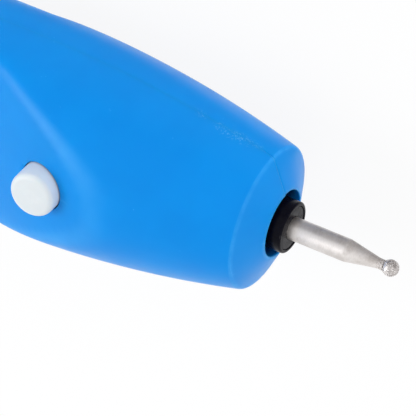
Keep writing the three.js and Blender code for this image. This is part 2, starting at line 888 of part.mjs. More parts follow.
function burrShank() {
  return turned([
    [burrTail, 0],
    [burrTail, burr.shankRadius - burr.tailChamfer],
    [burrTail + burr.tailChamfer, burr.shankRadius],
    [burr.taperStart, burr.shankRadius],
    [burr.neckStart, burr.neckRadius],
    [ballFlat, burr.neckRadius],
    [ballFlat, 0],
  ]);
}

function burrBall() {
  const start = Math.PI - Math.asin(burr.neckRadius / burr.ballRadius);
  const arc = stations(start, 0, facets.small / 2).map((angle) => [
    burr.ballPlace + burr.ballRadius * Math.cos(angle),
    burr.ballRadius * Math.sin(angle),
  ]);
  return turned([[ballFlat, 0], [ballFlat, burr.neckRadius], ...arc.slice(1, -1), [
    burr.ballPlace + burr.ballRadius,
    0,
  ]]);
}

// Cells, contacts and wires
function dryCell(tip) {
  const shoulderX = tip - cell.nubHeight;
  const end = tip - cell.length;
  return turned([
    [end, 0],
    [end, cell.radius - cell.shoulder],
    [end + cell.endInset, cell.radius],
    [shoulderX - cell.endInset, cell.radius],
    [shoulderX, cell.radius - cell.shoulder],
    [shoulderX, cell.nubRadius],
    [tip, cell.nubRadius],
    [tip, 0],
  ]);
}

function contactPlate(rear, tabHeight) {
  const xRange = [rear, rear + bay.plateThickness];
  const plate = block(
    xRange,
    [-bay.plateHalfWidth, bay.plateHalfWidth],
    [-bay.plateHalfHeight, bay.plateHalfHeight],
  );
  const half = bay.tabHeight / 2;
  const tab = block(
    xRange,
    [bay.plateHalfWidth - gap.overrun, bay.plateHalfWidth + bay.tabReach],
    [tabHeight - half, tabHeight + half],
  );
  return plate.add(tab);
}

function insulatedWire(points) {
  const path = new THREE.CatmullRomCurve3(points.map((point) => new THREE.Vector3(...point)));
  const shape = new THREE.Shape();
  const corners = stations(0, 2 * Math.PI, wire.sides).slice(0, -1);
  shape.setFromPoints(
    corners.map(
      (angle) => new THREE.Vector2(wire.radius * Math.cos(angle), wire.radius * Math.sin(angle)),
    ),
  );
  const steps = wire.stepsPerSpan * (points.length - 1);
  return solidFrom(new THREE.ExtrudeGeometry(shape, { steps, bevelEnabled: false, extrudePath: path }));
}

const lugEnd = switchBox.width / 2 + switchBox.lugLength;
const lugTop = switchBox.lugHeight + gap.close + wire.radius;
const terminalEnd = bellRear - motor.terminalLength;
const wireClear = wire.radius + gap.slide;

function linkWire() {
  const start = [-button.place, -lugEnd + wire.radius, lugTop];
  const end = [terminalEnd + wireClear, -motor.terminalOffset - wireClear, lugTop];
  const middle = [(start[0] + end[0]) / 2, (start[1] + end[1]) / 2 - gap.loose, lugTop + gap.loose];
  return insulatedWire([start, middle, end]);
}

function redWire() {
  const bulkhead = -bay.bulkheadFront + wireClear;
  const waist = -screw.waistPlace;
  const beside = waistLeadRoom - wireClear * 2;
  return insulatedWire([
    [-button.place - switchBox.lugWidth, lugEnd - wire.radius, lugTop],
    [(waist - button.place) / 2, beside, lugTop],
    [waist, beside, wire.height],
    [bulkhead, wire.offset - wire.radius, wire.height],
    [bulkheadRear + gap.close, wire.offset, wire.height],
  ]);
}

function blackWire() {
  const low = lugTop - switchBox.lugThickness - wireClear * 3;
  const waist = -screw.waistPlace;
  const beside = waistLeadRoom - wireClear * 2;
  const bayPath = stations(bulkheadRear - wireClear, rearPlateRear + bay.plateThickness + gap.close, 4);
  return insulatedWire([
    [terminalEnd + wireClear, motor.terminalOffset + wireClear, 0],
    [terminalEnd - wireClear, motor.terminalOffset + wireClear, low / 2],
    [-button.place, motor.terminalOffset + wireClear, low],
    [(waist - button.place) / 2, (beside + motor.terminalOffset + wireClear) / 2, low],
    [waist, beside, low],
    [-bay.bulkheadFront + wireClear, wire.offset - wire.radius, -wire.height - gap.slide],
    ...bayPath.map((x) => [x, wire.offset, -wire.height]),
  ]);
}

// Fasteners
function caseScrew({ x, y }) {
  const { seat, headThickness, headRadius, shankRadius, length, tipLength } = screw;
  const underside = -seat - headThickness;
  const whole = turnedUpright(
    [
      [underside, 0],
      [underside, headRadius - screw.recessWidth],
      [underside + screw.recessWidth, headRadius],
      [-seat, headRadius],
      [-seat, shankRadius],
      [length - seat - tipLength, shankRadius],
      [length - seat, shankRadius / 2],
      [length - seat, 0],
    ],
    x,
    y,
    facets.small,
  );
  const half = screw.recessLength / 2;
  const thin = screw.recessWidth / 2;
  const depth = [underside - gap.overrun, underside + screw.recessDepth];
  return cut(whole, [
    block([x - half, x + half], [y - thin, y + thin], depth),
    block([x - thin, x + thin], [y - half, y + half], depth),
  ]);
}

// The pen as a scene graph
const pen = new THREE.Group();

function addPiece(name, solid, { color, roughness, metalness }) {
  const material = new THREE.MeshStandardMaterial({ color, roughness, metalness });
  const mesh = new THREE.Mesh(geometryFrom(solid), material);
  mesh.name = name;
  pen.add(mesh);
}

addPiece("upper_shell", upperShell(), finish.bluePlastic);
addPiece("lower_shell", lowerShell(), finish.bluePlastic);
addPiece("battery_door", batteryDoor(), finish.bluePlastic);
addPiece("button_cap", buttonCap(), finish.whitePlastic);
addPiece("switch_body", switchBody(), finish.darkPlastic);
addPiece("switch_plunger", switchPlunger(), finish.whitePlastic);
addPiece("switch_lug_left", switchLug(-1), finish.copper);
addPiece("switch_lug_right", switchLug(1), finish.copper);

const { solid: pressSpring, least: pressGap } = springOverPlunger();
const { solid: cellSpring, least: cellGap } = batterySpring();
console.log(`least gap of the button spring to itself ${pressGap.toFixed(2)} mm`);
console.log(`least gap of the battery spring to itself ${cellGap.toFixed(2)} mm`);
addPiece("button_spring", pressSpring, finish.steel);
addPiece("battery_spring", cellSpring, finish.steel);

addPiece("motor_can", motorCan(), finish.zinc);
addPiece("motor_end_bell", motorEndBell(), finish.darkPlastic);
addPiece("motor_front_bush", bush(canFront - motor.sheet, canFront + motor.bossLength), finish.bronze);
addPiece("motor_rear_bush", bush(bellRear, canRear), finish.bronze);
addPiece(
  "motor_shaft",
  barrel(motor.shaftRadius, shaftRear, chuckRear + chuck.gripLength - gap.slide),
  finish.steel,
);
addPiece("rotor_core", rotorCore(), finish.iron);
counted(rotor.poles).forEach((pole) => {
  addPiece(`rotor_winding_${pole + 1}`, winding(pole), finish.copper);
});
addPiece("commutator", commutator(), finish.copper);
[
  ["left", -1],
  ["right", 1],
].forEach(([side, sign]) => {
  addPiece(`magnet_${side}`, magnet(sign), finish.ferrite);
  addPiece(`brush_${side}`, brush(sign), finish.bronze);
  addPiece(`motor_terminal_${side}`, terminal(sign), finish.copper);
});

addPiece("chuck_sleeve", chuckSleeve(), finish.blackPlastic);
addPiece("chuck_insert", chuckInsert(), finish.blackPlastic);
addPiece("burr_shank", burrShank(), finish.steel);
addPiece("burr_ball", burrBall(), finish.grit);

addPiece("cell_front", dryCell(frontCellTip), finish.cellJacket);
addPiece("cell_rear", dryCell(rearCellTip), finish.cellJacket);
addPiece("positive_contact", contactPlate(frontPlateRear, wire.height), finish.zinc);
addPiece("negative_contact", contactPlate(rearPlateRear, -wire.height), finish.zinc);
addPiece("wire_red", redWire(), finish.redCover);
addPiece("wire_link", linkWire(), finish.blackCover);
addPiece("wire_black", blackWire(), finish.blackCover);
screwPlaces.forEach((place) => addPiece(place.name, caseScrew(place), finish.zinc));

// The origin is moved to the middle of the pen's footprint, at its lowest level
const extent = new THREE.Box3().setFromObject(pen);
const middle = extent.getCenter(new THREE.Vector3());
pen.position.set(-middle.x, 0, -extent.min.z);

export default pen;
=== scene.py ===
"""Dresses the battery engraving pen: case, button, chuck, burr, cells and the finish of every piece.

Sizes are millimetres on the pen's own axis: x runs towards the burr from the plane of the rounded
nose rim, z runs up through the push button, and the motor turns on the x axis. PenPlace turns such
places into metres in the frame.
"""

import logging
import math
from collections.abc import Sequence
from dataclasses import dataclass, field
from enum import Enum

import bmesh
import bpy
import numpy as np
from mathutils import Matrix, Vector


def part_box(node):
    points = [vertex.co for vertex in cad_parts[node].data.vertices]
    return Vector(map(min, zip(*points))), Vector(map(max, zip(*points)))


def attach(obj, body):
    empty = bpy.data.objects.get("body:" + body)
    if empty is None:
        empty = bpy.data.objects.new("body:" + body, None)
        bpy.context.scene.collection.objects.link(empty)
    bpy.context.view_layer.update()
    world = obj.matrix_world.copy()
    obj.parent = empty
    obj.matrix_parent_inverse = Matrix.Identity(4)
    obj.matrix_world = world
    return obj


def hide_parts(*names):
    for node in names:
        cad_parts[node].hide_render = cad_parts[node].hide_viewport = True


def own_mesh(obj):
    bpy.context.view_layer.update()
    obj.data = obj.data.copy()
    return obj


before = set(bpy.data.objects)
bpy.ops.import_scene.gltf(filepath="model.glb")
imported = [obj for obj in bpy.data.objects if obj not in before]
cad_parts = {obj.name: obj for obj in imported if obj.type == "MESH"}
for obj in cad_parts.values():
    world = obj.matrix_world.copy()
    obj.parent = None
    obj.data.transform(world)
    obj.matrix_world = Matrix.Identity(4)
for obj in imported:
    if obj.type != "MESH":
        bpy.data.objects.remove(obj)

log = logging.getLogger("engraving_pen")

TURN = 2 * math.pi
SHARP_ANGLE = math.radians(30)
MM = 0.001  # A millimetre in metres.
OVERRUN = 1.0  # How far a cutting tool reaches past the face that it cuts.
WELD = 1e-4  # Corners nearer than this are one.
TIP = 1e-3  # Radius at which a turned form counts as closed.
FAR = 1e6  # Farther than any face.
TINY = 1e-6  # Directions less steep than this count as level.
SHARPNESS = (0.52, 0.6)  # Pointiness at which wear starts and at which it is full.

Colour = tuple[float, float, float]
Corners = Sequence[Sequence[float]]
Faces = Sequence[Sequence[int]]
Form = bmesh.types.BMesh
Chance = np.random.Generator
Inputs = dict[int | str, object]
Piece = bpy.types.Object
Profile = list[tuple[float, float]]
Socket = bpy.types.NodeSocket
Span = tuple[float, float]


class Join(Enum):
    """How a tool body changes the body that it meets."""

    CUT = "DIFFERENCE"
    COMMON = "INTERSECT"
    ADD = "UNION"


class Axis(Enum):
    """The line that a turned form is turned about."""

    LONG = "along the pen"
    UPRIGHT = "up through the button"


@dataclass(frozen=True)
class PenPlace:
    """Places on the pen's own axis, turned into the frame.

    Attributes:
        rim: Where the rim plane of the nose lies along the frame's x, in metres.
        axis: Height of the motor axis in the frame, in metres.
    """

    rim: float
    axis: float

    @classmethod
    def found(cls, chuck_reach: float) -> "PenPlace":
        """Reads the pen's place from its shaft and from its chuck, which reaches past the rim plane."""
        low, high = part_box("motor_shaft")
        return cls(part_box("chuck_sleeve")[1].x - chuck_reach * MM, (low.z + high.z) / 2)

    def matrix(self) -> Matrix:
        """Returns the change from pen millimetres to frame metres."""
        return Matrix.Translation((self.rim, 0, self.axis)) @ Matrix.Scale(MM, 4)

    def point(self, x: float, y: float, z: float) -> Vector:
        """Returns one place on the pen in the frame."""
        return self.matrix() @ Vector((x, y, z))

    def box(self, node: str) -> tuple[Vector, Vector]:
        """Returns the corners of a solid's box in pen millimetres."""
        low, high = (self.matrix().inverted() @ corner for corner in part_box(node))
        return low, high


def stood(name: str, data: bpy.types.ID) -> Piece:
    """Makes an object and links it to the scene.

    Args:
        name: The object's name.
        data: Its mesh, lamp or camera.

    Returns:
        The new object.
    """
    piece = bpy.data.objects.new(name, data)
    bpy.context.scene.collection.objects.link(piece)
    return piece


class Workshop:
    """Makes, cuts and places meshes in pen millimetres.

    Args:
        place: Where the pen's axis lies in the frame.
        paints: The materials by name.
    """

    def __init__(self, place: PenPlace, paints: dict[str, bpy.types.Material]) -> None:
        """Keeps the place of the pen and its finishes."""
        self.place = place
        self.paints = paints

    def body(self, name: str, points: np.ndarray, faces: Faces) -> Piece:
        """Makes a body from points and faces.

        Args:
            name: The object's name.
            points: Its corners, one row of three values each.
            faces: The corners of each face.

        Returns:
            The new object, linked to the scene.
        """
        mesh = bpy.data.meshes.new(name)
        mesh.from_pydata(points.tolist(), [], faces)
        mesh.validate()
        return self.facing_out(stood(name, mesh))

    def facing_out(self, piece: Piece) -> Piece:
        """Merges doubled corners and turns every face outwards.

        Args:
            piece: The body that is put in order.

        Returns:
            The same body.
        """
        form = bmesh.new()
        form.from_mesh(piece.data)
        bmesh.ops.remove_doubles(form, verts=form.verts, dist=WELD)
        bmesh.ops.recalc_face_normals(form, faces=form.faces)
        form.to_mesh(piece.data)
        form.free()
        return piece

    def rings(self, name: str, rings: np.ndarray, closed: bool = False) -> Piece:
        """Joins rings of points into a closed body.

        Args:
            name: The object's name.
            rings: Points by ring and by place round the ring.
            closed: Whether the last ring joins the first, as in a hoop; the ends are capped if not.

        Returns:
            The new object.
        """
        count, around = rings.shape[:2]
        faces: list[list[int]] = []
        for ring in range(count if closed else count - 1):
            here = ring * around
            there = (ring + 1) % count * around
            for i in range(around):
                after = (i + 1) % around
                faces.append([here + i, here + after, there + after, there + i])
        if not closed:
            faces.append(list(range(around)))
            faces.append(list(range((count - 1) * around, count * around)))
        return self.body(name, rings.reshape(-1, 3), faces)

    def turned(
        self,
        name: str,
        profile: Profile,
        segments: int,
        axis: Axis = Axis.LONG,
        centre: tuple[float, float] = (0.0, 0.0),
    ) -> Piece:
        """Turns an outline about a line.

        Args:
            name: The object's name.
            profile: Places along the line with their radii.
            segments: Flats round the form.
            axis: The line that the form is turned about.
            centre: Where an upright line stands, as x and y, or where a long one runs, as y and z.

        Returns:
            The new object; it is closed between its ends, or onto itself if it starts where it ends.
        """
        hoop = profile[0] == profile[-1]
        outline = profile[:-1] if hoop else profile
        angles = np.arange(segments) * TURN / segments
        rings = np.empty((len(outline), segments, 3))
        for ring, (along, radius) in enumerate(outline):
            across = np.stack([np.cos(angles), np.sin(angles)], axis=1) * radius + centre
            line = np.full(segments, along)
            rings[ring] = np.column_stack([line, across] if axis is Axis.LONG else [across, line])
        return self.rings(name, rings, hoop)

    def block(self, name: str, low: Sequence[float], high: Sequence[float]) -> Piece:
        """Makes a block.

        Args:
            name: The object's name.
            low: Its lowest corner.
            high: Its highest corner.

        Returns:
            The new object.
        """
        sides = list(zip(low, high))
        corners = [[x, y, z] for x in sides[0] for y in sides[1] for z in sides[2]]
        faces = [[0, 1, 3, 2], [4, 6, 7, 5], [0, 4, 5, 1], [2, 3, 7, 6], [0, 2, 6, 4], [1, 5, 7, 3]]
        return self.body(name, np.array(corners, float), faces)

    def combine(self, piece: Piece, tool: Piece, how: Join = Join.CUT) -> Piece:
        """Changes a body by a tool body, which is used up.

        Args:
            piece: The body that is changed.
            tool: The body that cuts, trims or joins it.
            how: What the tool does.

        Returns:
            The changed body.
        """
        step = piece.modifiers.new("join", "BOOLEAN")
        step.operation = how.value
        step.solver = "MANIFOLD"
        step.object = tool
        seen = bpy.context.evaluated_depsgraph_get()
        mesh = bpy.data.meshes.new_from_object(piece.evaluated_get(seen))
        piece.modifiers.clear()
        mesh.materials.clear()
        old, piece.data = piece.data, mesh
        bpy.data.meshes.remove(old)
        bpy.data.objects.remove(tool)
        return piece

    def copy_of(self, name: str, node: str) -> Piece:
        """Copies a solid of the frame into pen millimetres.

        Args:
            name: The copy's name.
            node: The solid.

        Returns:
            The copy.
        """
        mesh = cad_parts[node].data.copy()
        mesh.materials.clear()
        mesh.transform(self.place.matrix().inverted())
        return self.facing_out(stood(name, mesh))

    def finished(self, piece: Piece, body: str, node: str, slot: str, *paints: str) -> Piece:
        """Dresses a piece and puts it in its place in the frame and on its body.

        Args:
            piece: The piece, in pen millimetres.
            body: The body that it moves with.
            node: The solid that it stands for.
            slot: The material slot that its finish comes from.
            *paints: Names of its finishes; the slot's name is used if there are none.

        Returns:
            The placed piece.
        """
        for name in paints or (slot,):
            piece.data.materials.append(self.paints[name])
        piece.data.transform(self.place.matrix())
        piece.data.shade_smooth()
        piece.data.set_sharp_from_angle(angle=SHARP_ANGLE)
        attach(piece, body)
        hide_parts(node)
        log.info("%s: %d faces", piece.name, len(piece.data.polygons))
        return piece


def softened(outline: Profile, fillets: dict[int, float], steps: int) -> Profile:
    """Rounds corners of an outline.

    Args:
        outline: The corners of the outline.
        fillets: The radius for each corner that is rounded, by its place in the outline.
        steps: How many steps each round takes.

    Returns:
        The outline with an arc at each of those corners.
    """
    points: Profile = []
    for i, corner in enumerate(outline):
        if i not in fillets:
            points.append(corner)
            continue
        at = Vector(corner)
        before = (Vector(outline[i - 1]) - at).normalized()
        after = (Vector(outline[i + 1]) - at).normalized()
        half = before.angle(after) / 2
        centre = at + (before + after).normalized() * fillets[i] / math.sin(half)
        start = at + before * fillets[i] / math.tan(half) - centre
        sweep = (at + after * fillets[i] / math.tan(half) - centre).angle_signed(start)
        for step in range(steps + 1):
            turn = sweep * step / steps
            x = start.x * math.cos(turn) - start.y * math.sin(turn)
            y = start.x * math.sin(turn) + start.y * math.cos(turn)
            points.append((centre.x + x, centre.y + y))
    return points


class Painter:
    """Builds the nodes of one material or world, with places in millimetres on the piece.

    Args:
        owner: The material or world.
    """

    def __init__(self, owner: bpy.types.Material | bpy.types.World) -> None:
        """Turns the owner's nodes on."""
        owner.use_nodes = True
        self.owner = owner
        self.nodes = owner.node_tree.nodes
        self.links = owner.node_tree.links
        self.shader = self.nodes.get("Principled BSDF")

    def node(self, kind: str, inputs: Inputs | None = None, **settings: object) -> bpy.types.Node:
        """Adds a node.

        Args:
            kind: The node's type, without the words that all types start with.
            inputs: Values or sockets for its inputs, by name or number.
            **settings: Values for its own properties.

        Returns:
            The new node.
        """
        node = self.nodes.new("ShaderNode" + kind)
        for key, value in settings.items():
            setattr(node, key, value)
        for key, value in (inputs or {}).items():
            self.feed(node.inputs[key], value)
        return node

    def feed(self, socket: Socket, value: object) -> None:
        """Links a socket to another, or sets its value.

        Args:
            socket: The socket that is fed.
            value: Another socket, or a value.
        """
        if isinstance(value, bpy.types.NodeSocket):
            self.links.new(value, socket)
        else:
            socket.default_value = value

    def place(self, stretch: Sequence[float] = (1, 1, 1), shift: Sequence[float] = (0, 0, 0)) -> Socket:
        """Returns the place on the piece.

        Args:
            stretch: How much faster it changes along each axis.
            shift: What is added to it, in millimetres.

        Returns:
            The socket with the place in millimetres.
        """
        here = self.node("TexCoord").outputs["Object"]
        scale = tuple(factor / MM for factor in stretch)
        return self.node("Mapping", {"Vector": here, "Location": shift, "Scale": scale}).outputs[0]

    def split(self, place: Socket) -> tuple[Socket, Socket, Socket]:
        """Returns a place's three values."""
        return tuple(self.node("SeparateXYZ", {"Vector": place}).outputs)

    def vector(self, operation: str, inputs: Inputs, output: int | str = 0) -> Socket:
        """Returns what an operation gives for vectors."""
        return self.node("VectorMath", inputs, operation=operation).outputs[output]

    def turned_place(self, axis_height: float, around: float) -> Socket:
        """Returns a place that barely changes round the motor axis, for lines left by turning.

        Args:
            axis_height: Height of the motor axis in the frame, in metres.
            around: How fast it changes round the axis, next to how fast it changes along and outwards.

        Returns:
            The socket with the place.
        """
        x, y, z = self.split(self.place(shift=(0, 0, -axis_height / MM)))
        flat = self.node("CombineXYZ", {"Y": y, "Z": z}).outputs[0]
        out = self.vector("LENGTH", {0: flat}, "Value")
        line = self.node("CombineXYZ", {"X": x, "Y": out}).outputs[0]
        steady = self.vector("SCALE", {0: self.vector("NORMALIZE", {0: flat}), "Scale": around})
        return self.vector("ADD", {0: line, 1: steady})

    def noise(self, place: Socket, size: float, detail: float = 3, rough: float = 0.5) -> Socket:
        """Returns cloudy noise.

        Args:
            place: Where it is read, in millimetres.
            size: How large its clouds are, in millimetres.
            detail: How many finer layers it has.
            rough: How strong the finer layers are.

        Returns:
            The noise, about 0.5 on average.
        """
        values = {"Vector": place, "Scale": 1 / size, "Detail": detail, "Roughness": rough}
        return self.node("TexNoise", values).outputs[0]

    def cells(self, place: Socket, size: float, output: str = "Distance") -> Socket:
        """Returns a pattern of grains of a size in millimetres: Distance from their middles, or Color."""
        return self.node("TexVoronoi", {"Vector": place, "Scale": 1 / size}).outputs[output]

    def ranged(self, value: Socket, low: float, high: float, start: float = 0, end: float = 1) -> Socket:
        """Maps a value from low to high onto start to end, held at both ends."""
        values = {"Value": value, "From Min": low, "From Max": high, "To Min": start, "To Max": end}
        return self.node("MapRange", values).outputs[0]

    def clouds(
        self,
        place: Socket,
        size: float,
        start: float,
        end: float,
        low: float = 0.3,
        high: float = 0.7,
        detail: float = 3,
        rough: float = 0.5,
    ) -> Socket:
        """Returns cloudy noise, mapped from low to high onto start to end."""
        return self.ranged(self.noise(place, size, detail, rough), low, high, start, end)

    def sum(self, operation: str, first: Socket, second: Socket | float = 0) -> Socket:
        """Returns what an operation gives for one or two values."""
        return self.node("Math", {0: first, 1: second}, operation=operation).outputs[0]

    def times(self, first: Socket, second: Socket | float) -> Socket:
        """Returns the product of two values."""
        return self.sum("MULTIPLY", first, second)

    def plus(self, first: Socket, second: Socket | float) -> Socket:
        """Returns the sum of two values."""
        return self.sum("ADD", first, second)

    def mixed(self, share: Socket, first: Socket | Colour, second: Socket | Colour) -> Socket:
        """Blends two colours.

        Args:
            share: How much of the second colour is taken.
            first: The first colour.
            second: The second colour.

        Returns:
            The blend.
        """
        node = self.node("Mix", data_type="RGBA")
        self.feed(node.inputs[0], share)
        for socket, value in ((node.inputs[6], first), (node.inputs[7], second)):
            self.feed(socket, value if isinstance(value, bpy.types.NodeSocket) else (*value, 1))
        return node.outputs[2]

    def worn(self, here: Socket, size: float, most: float, detail: float = 3) -> Socket:
        """Returns a mask of the outer edges, where handling wears a piece.

        Args:
            here: The place on the piece.
            size: How large its clouds are, in millimetres.
            most: Its highest value.
            detail: How many finer layers it has.

        Returns:
            The mask.
        """
        edges = self.ranged(self.node("NewGeometry").outputs["Pointiness"], *SHARPNESS)
        return self.times(edges, self.clouds(here, size, 0, most, low=0.45, detail=detail))

    def bumps(self, *layers: tuple[Socket, float]) -> None:
        """Gives the surface fine relief.

        Args:
            *layers: Heights, each with its depth in millimetres.
        """
        last: Socket | None = None
        for height, depth in layers:
            node = self.node("Bump", {"Height": height, "Distance": depth * MM})
            if last is not None:
                self.feed(node.inputs["Normal"], last)
            last = node.outputs[0]
        self.surface(Normal=last)

    def surface(self, **values: object) -> None:
        """Sets the shader's inputs, by their names with underscores for spaces."""
        for key, value in values.items():
            self.feed(self.shader.inputs[key.replace("_", " ")], value)


@dataclass(frozen=True)
class Finish:
    """A finish that makes its own material.

    Attributes:
        name: Name of the finish.
    """

    name: str

    def made(self) -> bpy.types.Material:
        """Returns the material."""
        paint = Painter(bpy.data.materials.new(self.name))
        self.lay(paint, paint.place())
        return paint.owner

    def lay(self, paint: Painter, here: Socket) -> None:
        """Sets up the material's nodes.

        Args:
            paint: Adds the nodes.
            here: The place on the piece.
        """
        raise NotImplementedError


@dataclass(frozen=True)
class Moulded(Finish):
    """Moulded plastic with a fine grain, mottling, sparse pale specks, rubbed edges and painted
    highlights on rims and ridges.

    Attributes:
        colour: Its colour.
        deep: The darker tone of its mottling.
        rubbed: The pale tone of specks and rubbed edges, also the tone of the painted highlights on rims
            and ridges.
        rough: Roughness of the surface.
        shine: Strength of its reflection.
        scuffs: How strong the pale scuffs are.
        milky: How much light sinks in.
        dust: The tone of the scuffed patch.
        highlight_rims: Rims with a painted highlight: their places along the frame's x and half widths,
            in millimetres.
        patch: Middle of a long scuffed patch in the frame, in millimetres.
        patch_stretch: How much shorter the patch is across the pen than along it.
        depth_scale: How far light sinks in, in millimetres.
        depths: How far each of red, green and blue sinks in, as shares of that.
        mottle_size: Size of the mottling in millimetres.
        speck_size: Spacing of the specks in millimetres.
        speck_edge: Where a speck starts to fade and where it ends, as shares of that.
        cluster_size: Size of the clusters of specks, and of the patch's ragged edge, in millimetres.
        dot_size: Size of the dots in the scuffed patch in millimetres.
        patch_edge: Where the patch starts to fade and where it ends, in millimetres from its middle.
        ragged: How far its edge strays, in millimetres.
        highlight_rim_share: The least and the most share of the painted highlight on a rim.
        ridge_highlight_share: The least and the most share of the painted highlight on a ridge.
        uneven: What the roughness strays down and up.
        relief: Size and depth in millimetres of waves, grain and scratches.
        scratch_stretch: How much finer the scratches are along each axis.
    """

    colour: Colour
    deep: Colour
    rubbed: Colour
    rough: float
    shine: float
    scuffs: float = 0.0
    milky: float = 0.0
    dust: Colour = (0.2, 0.58, 0.92)
    highlight_rims: tuple[Span, ...] = ()
    patch: tuple[float, float, float] = (0.0, 0.0, 0.0)
    patch_stretch: float = 0.2
    depth_scale: float = 0.9
    depths: tuple[float, float, float] = (0.5, 0.8, 1.0)
    mottle_size: float = 9.0
    speck_size: float = 0.9
    speck_edge: Span = (0.05, 0.09)
    cluster_size: float = 2.2
    dot_size: float = 0.2
    patch_edge: Span = (0.1, 1.2)
    ragged: float = 0.7
    highlight_rim_share: Span = (0.12, 0.32)
    ridge_highlight_share: Span = (0.5, 0.75)
    uneven: Span = (0.05, 0.06)
    relief: tuple[Span, ...] = ((4.5, 0.02), (0.12, 0.004), (0.35, 0.003))
    scratch_stretch: tuple[float, float, float] = (0.12, 1.6, 1.6)

    def specks(self, paint: Painter, here: Socket) -> Socket:
        """Returns a mask of sparse specks."""
        speck = paint.ranged(paint.cells(here, self.speck_size), *self.speck_edge, 1, 0)
        return paint.times(speck, paint.clouds(here, self.cluster_size, 0, 0.5, low=0.6, detail=1))

    def scuffed(self, paint: Painter, here: Socket) -> Socket:
        """Returns a mask of the long scuffed patch.

        Args:
            paint: Adds the nodes.
            here: The place on the piece.

        Returns:
            The mask.
        """
        middle = (self.patch[0] * self.patch_stretch, *self.patch[1:])
        away = paint.vector("DISTANCE", {0: paint.place((self.patch_stretch, 1, 1)), 1: middle}, "Value")
        spread = paint.plus(away, paint.clouds(here, self.cluster_size, -self.ragged, self.ragged))
        dots = paint.noise(paint.place((0.7, 1, 1)), self.dot_size, detail=2, rough=0.6)
        dots = paint.ranged(dots, 0.55, 0.63, 0, self.scuffs)
        return paint.times(paint.ranged(spread, *self.patch_edge, 1, 0), dots)

    def painted_rim_highlights(self, paint: Painter, here: Socket, tone: Socket) -> Socket:
        """Paints a pale highlight along the rims.

        Args:
            paint: Adds the nodes.
            here: The place on the piece.
            tone: The colour so far.

        Returns:
            The colour with the painted rim highlights on it.
        """
        along = paint.split(here)[0]
        for rim, half in self.highlight_rims:
            off = paint.sum("ABSOLUTE", paint.plus(along, -rim))
            near = paint.ranged(off, half * 0.4, half, 1, 0)
            share = paint.times(near, paint.clouds(here, 1.2, *self.highlight_rim_share))
            tone = paint.mixed(share, tone, self.rubbed)
        return tone

    def lay(self, paint: Painter, here: Socket) -> None:
        """Sets up mottling, specks, scuffs, the painted highlights on the rims and on the rounded ridges,
        worn edges and the grain.
        """
        mottled = paint.clouds(here, self.mottle_size, 0, 1, low=0.38, high=0.62)
        tone = paint.mixed(mottled, self.deep, self.colour)
        tone = paint.mixed(self.specks(paint, here), tone, self.rubbed)
        scuffed = self.scuffed(paint, here)
        tone = self.painted_rim_highlights(paint, here, paint.mixed(scuffed, tone, self.dust))
        tone = paint.mixed(paint.worn(here, size=1.6, most=0.35, detail=4), tone, self.rubbed)
        # Painted highlight along the rounded crease ridges, in the pale tone.
        ridge_highlight = paint.node("Attribute", attribute_name="ridge_highlight").outputs["Fac"]
        ridge_highlight = paint.times(ridge_highlight, paint.clouds(here, 3, *self.ridge_highlight_share))
        tone = paint.mixed(ridge_highlight, tone, self.rubbed)
        smooth, dull = self.rough - self.uneven[0], self.rough + self.uneven[1]
        rough = paint.clouds(here, 3.5, smooth, dull, detail=4, rough=0.6)
        rough = paint.plus(rough, paint.times(scuffed, 0.2))
        (wave_size, wave_depth), (grain_size, grain_depth), (scratch_size, scratch_depth) = self.relief
        waves = paint.noise(here, wave_size, detail=1)
        grain = paint.noise(here, grain_size, detail=2, rough=0.6)
        scratches = paint.noise(paint.place(self.scratch_stretch), scratch_size, detail=2)
        paint.bumps((waves, wave_depth), (grain, grain_depth), (scratches, scratch_depth))
        paint.surface(Base_Color=tone, Roughness=rough, Specular_IOR_Level=self.shine)
        paint.surface(Subsurface_Weight=self.milky, Subsurface_Scale=self.depth_scale * MM)
        paint.surface(Subsurface_Radius=self.depths)


@dataclass(frozen=True)
class GlossBlack(Finish):
    """Glossy black plastic that was turned true, with hairlines round its axis.

    Attributes:
        axis_height: Height of the motor axis in the frame, in metres.
        black: Its colour.
        pale: The lighter tone of its mottling.
        rubbed: The tone of rubbed edges.
        rough: Roughness of the surface.
        shine: Strength of its reflection.
    """

    axis_height: float
    black: Colour = (0.001, 0.001, 0.004)
    pale: Colour = (0.004, 0.004, 0.009)
    rubbed: Colour = (0.05, 0.05, 0.055)
    rough: float = 0.24
    shine: float = 0.07

    def lay(self, paint: Painter, here: Socket) -> None:
        """Sets up faint mottling, rubbed edges and the hairlines."""
        lines = paint.noise(paint.turned_place(self.axis_height, 0.3), 0.05)
        cloud = paint.noise(here, 1.4)
        tone = paint.mixed(cloud, self.black, self.pale)
        tone = paint.mixed(paint.worn(here, 0.5, 0.5), tone, self.rubbed)
        rough = paint.clouds(here, 0.8, self.rough - 0.04, self.rough + 0.08)
        paint.bumps((lines, 0.001), (cloud, 0.003))
        paint.surface(Base_Color=tone, Roughness=rough, Specular_IOR_Level=self.shine)


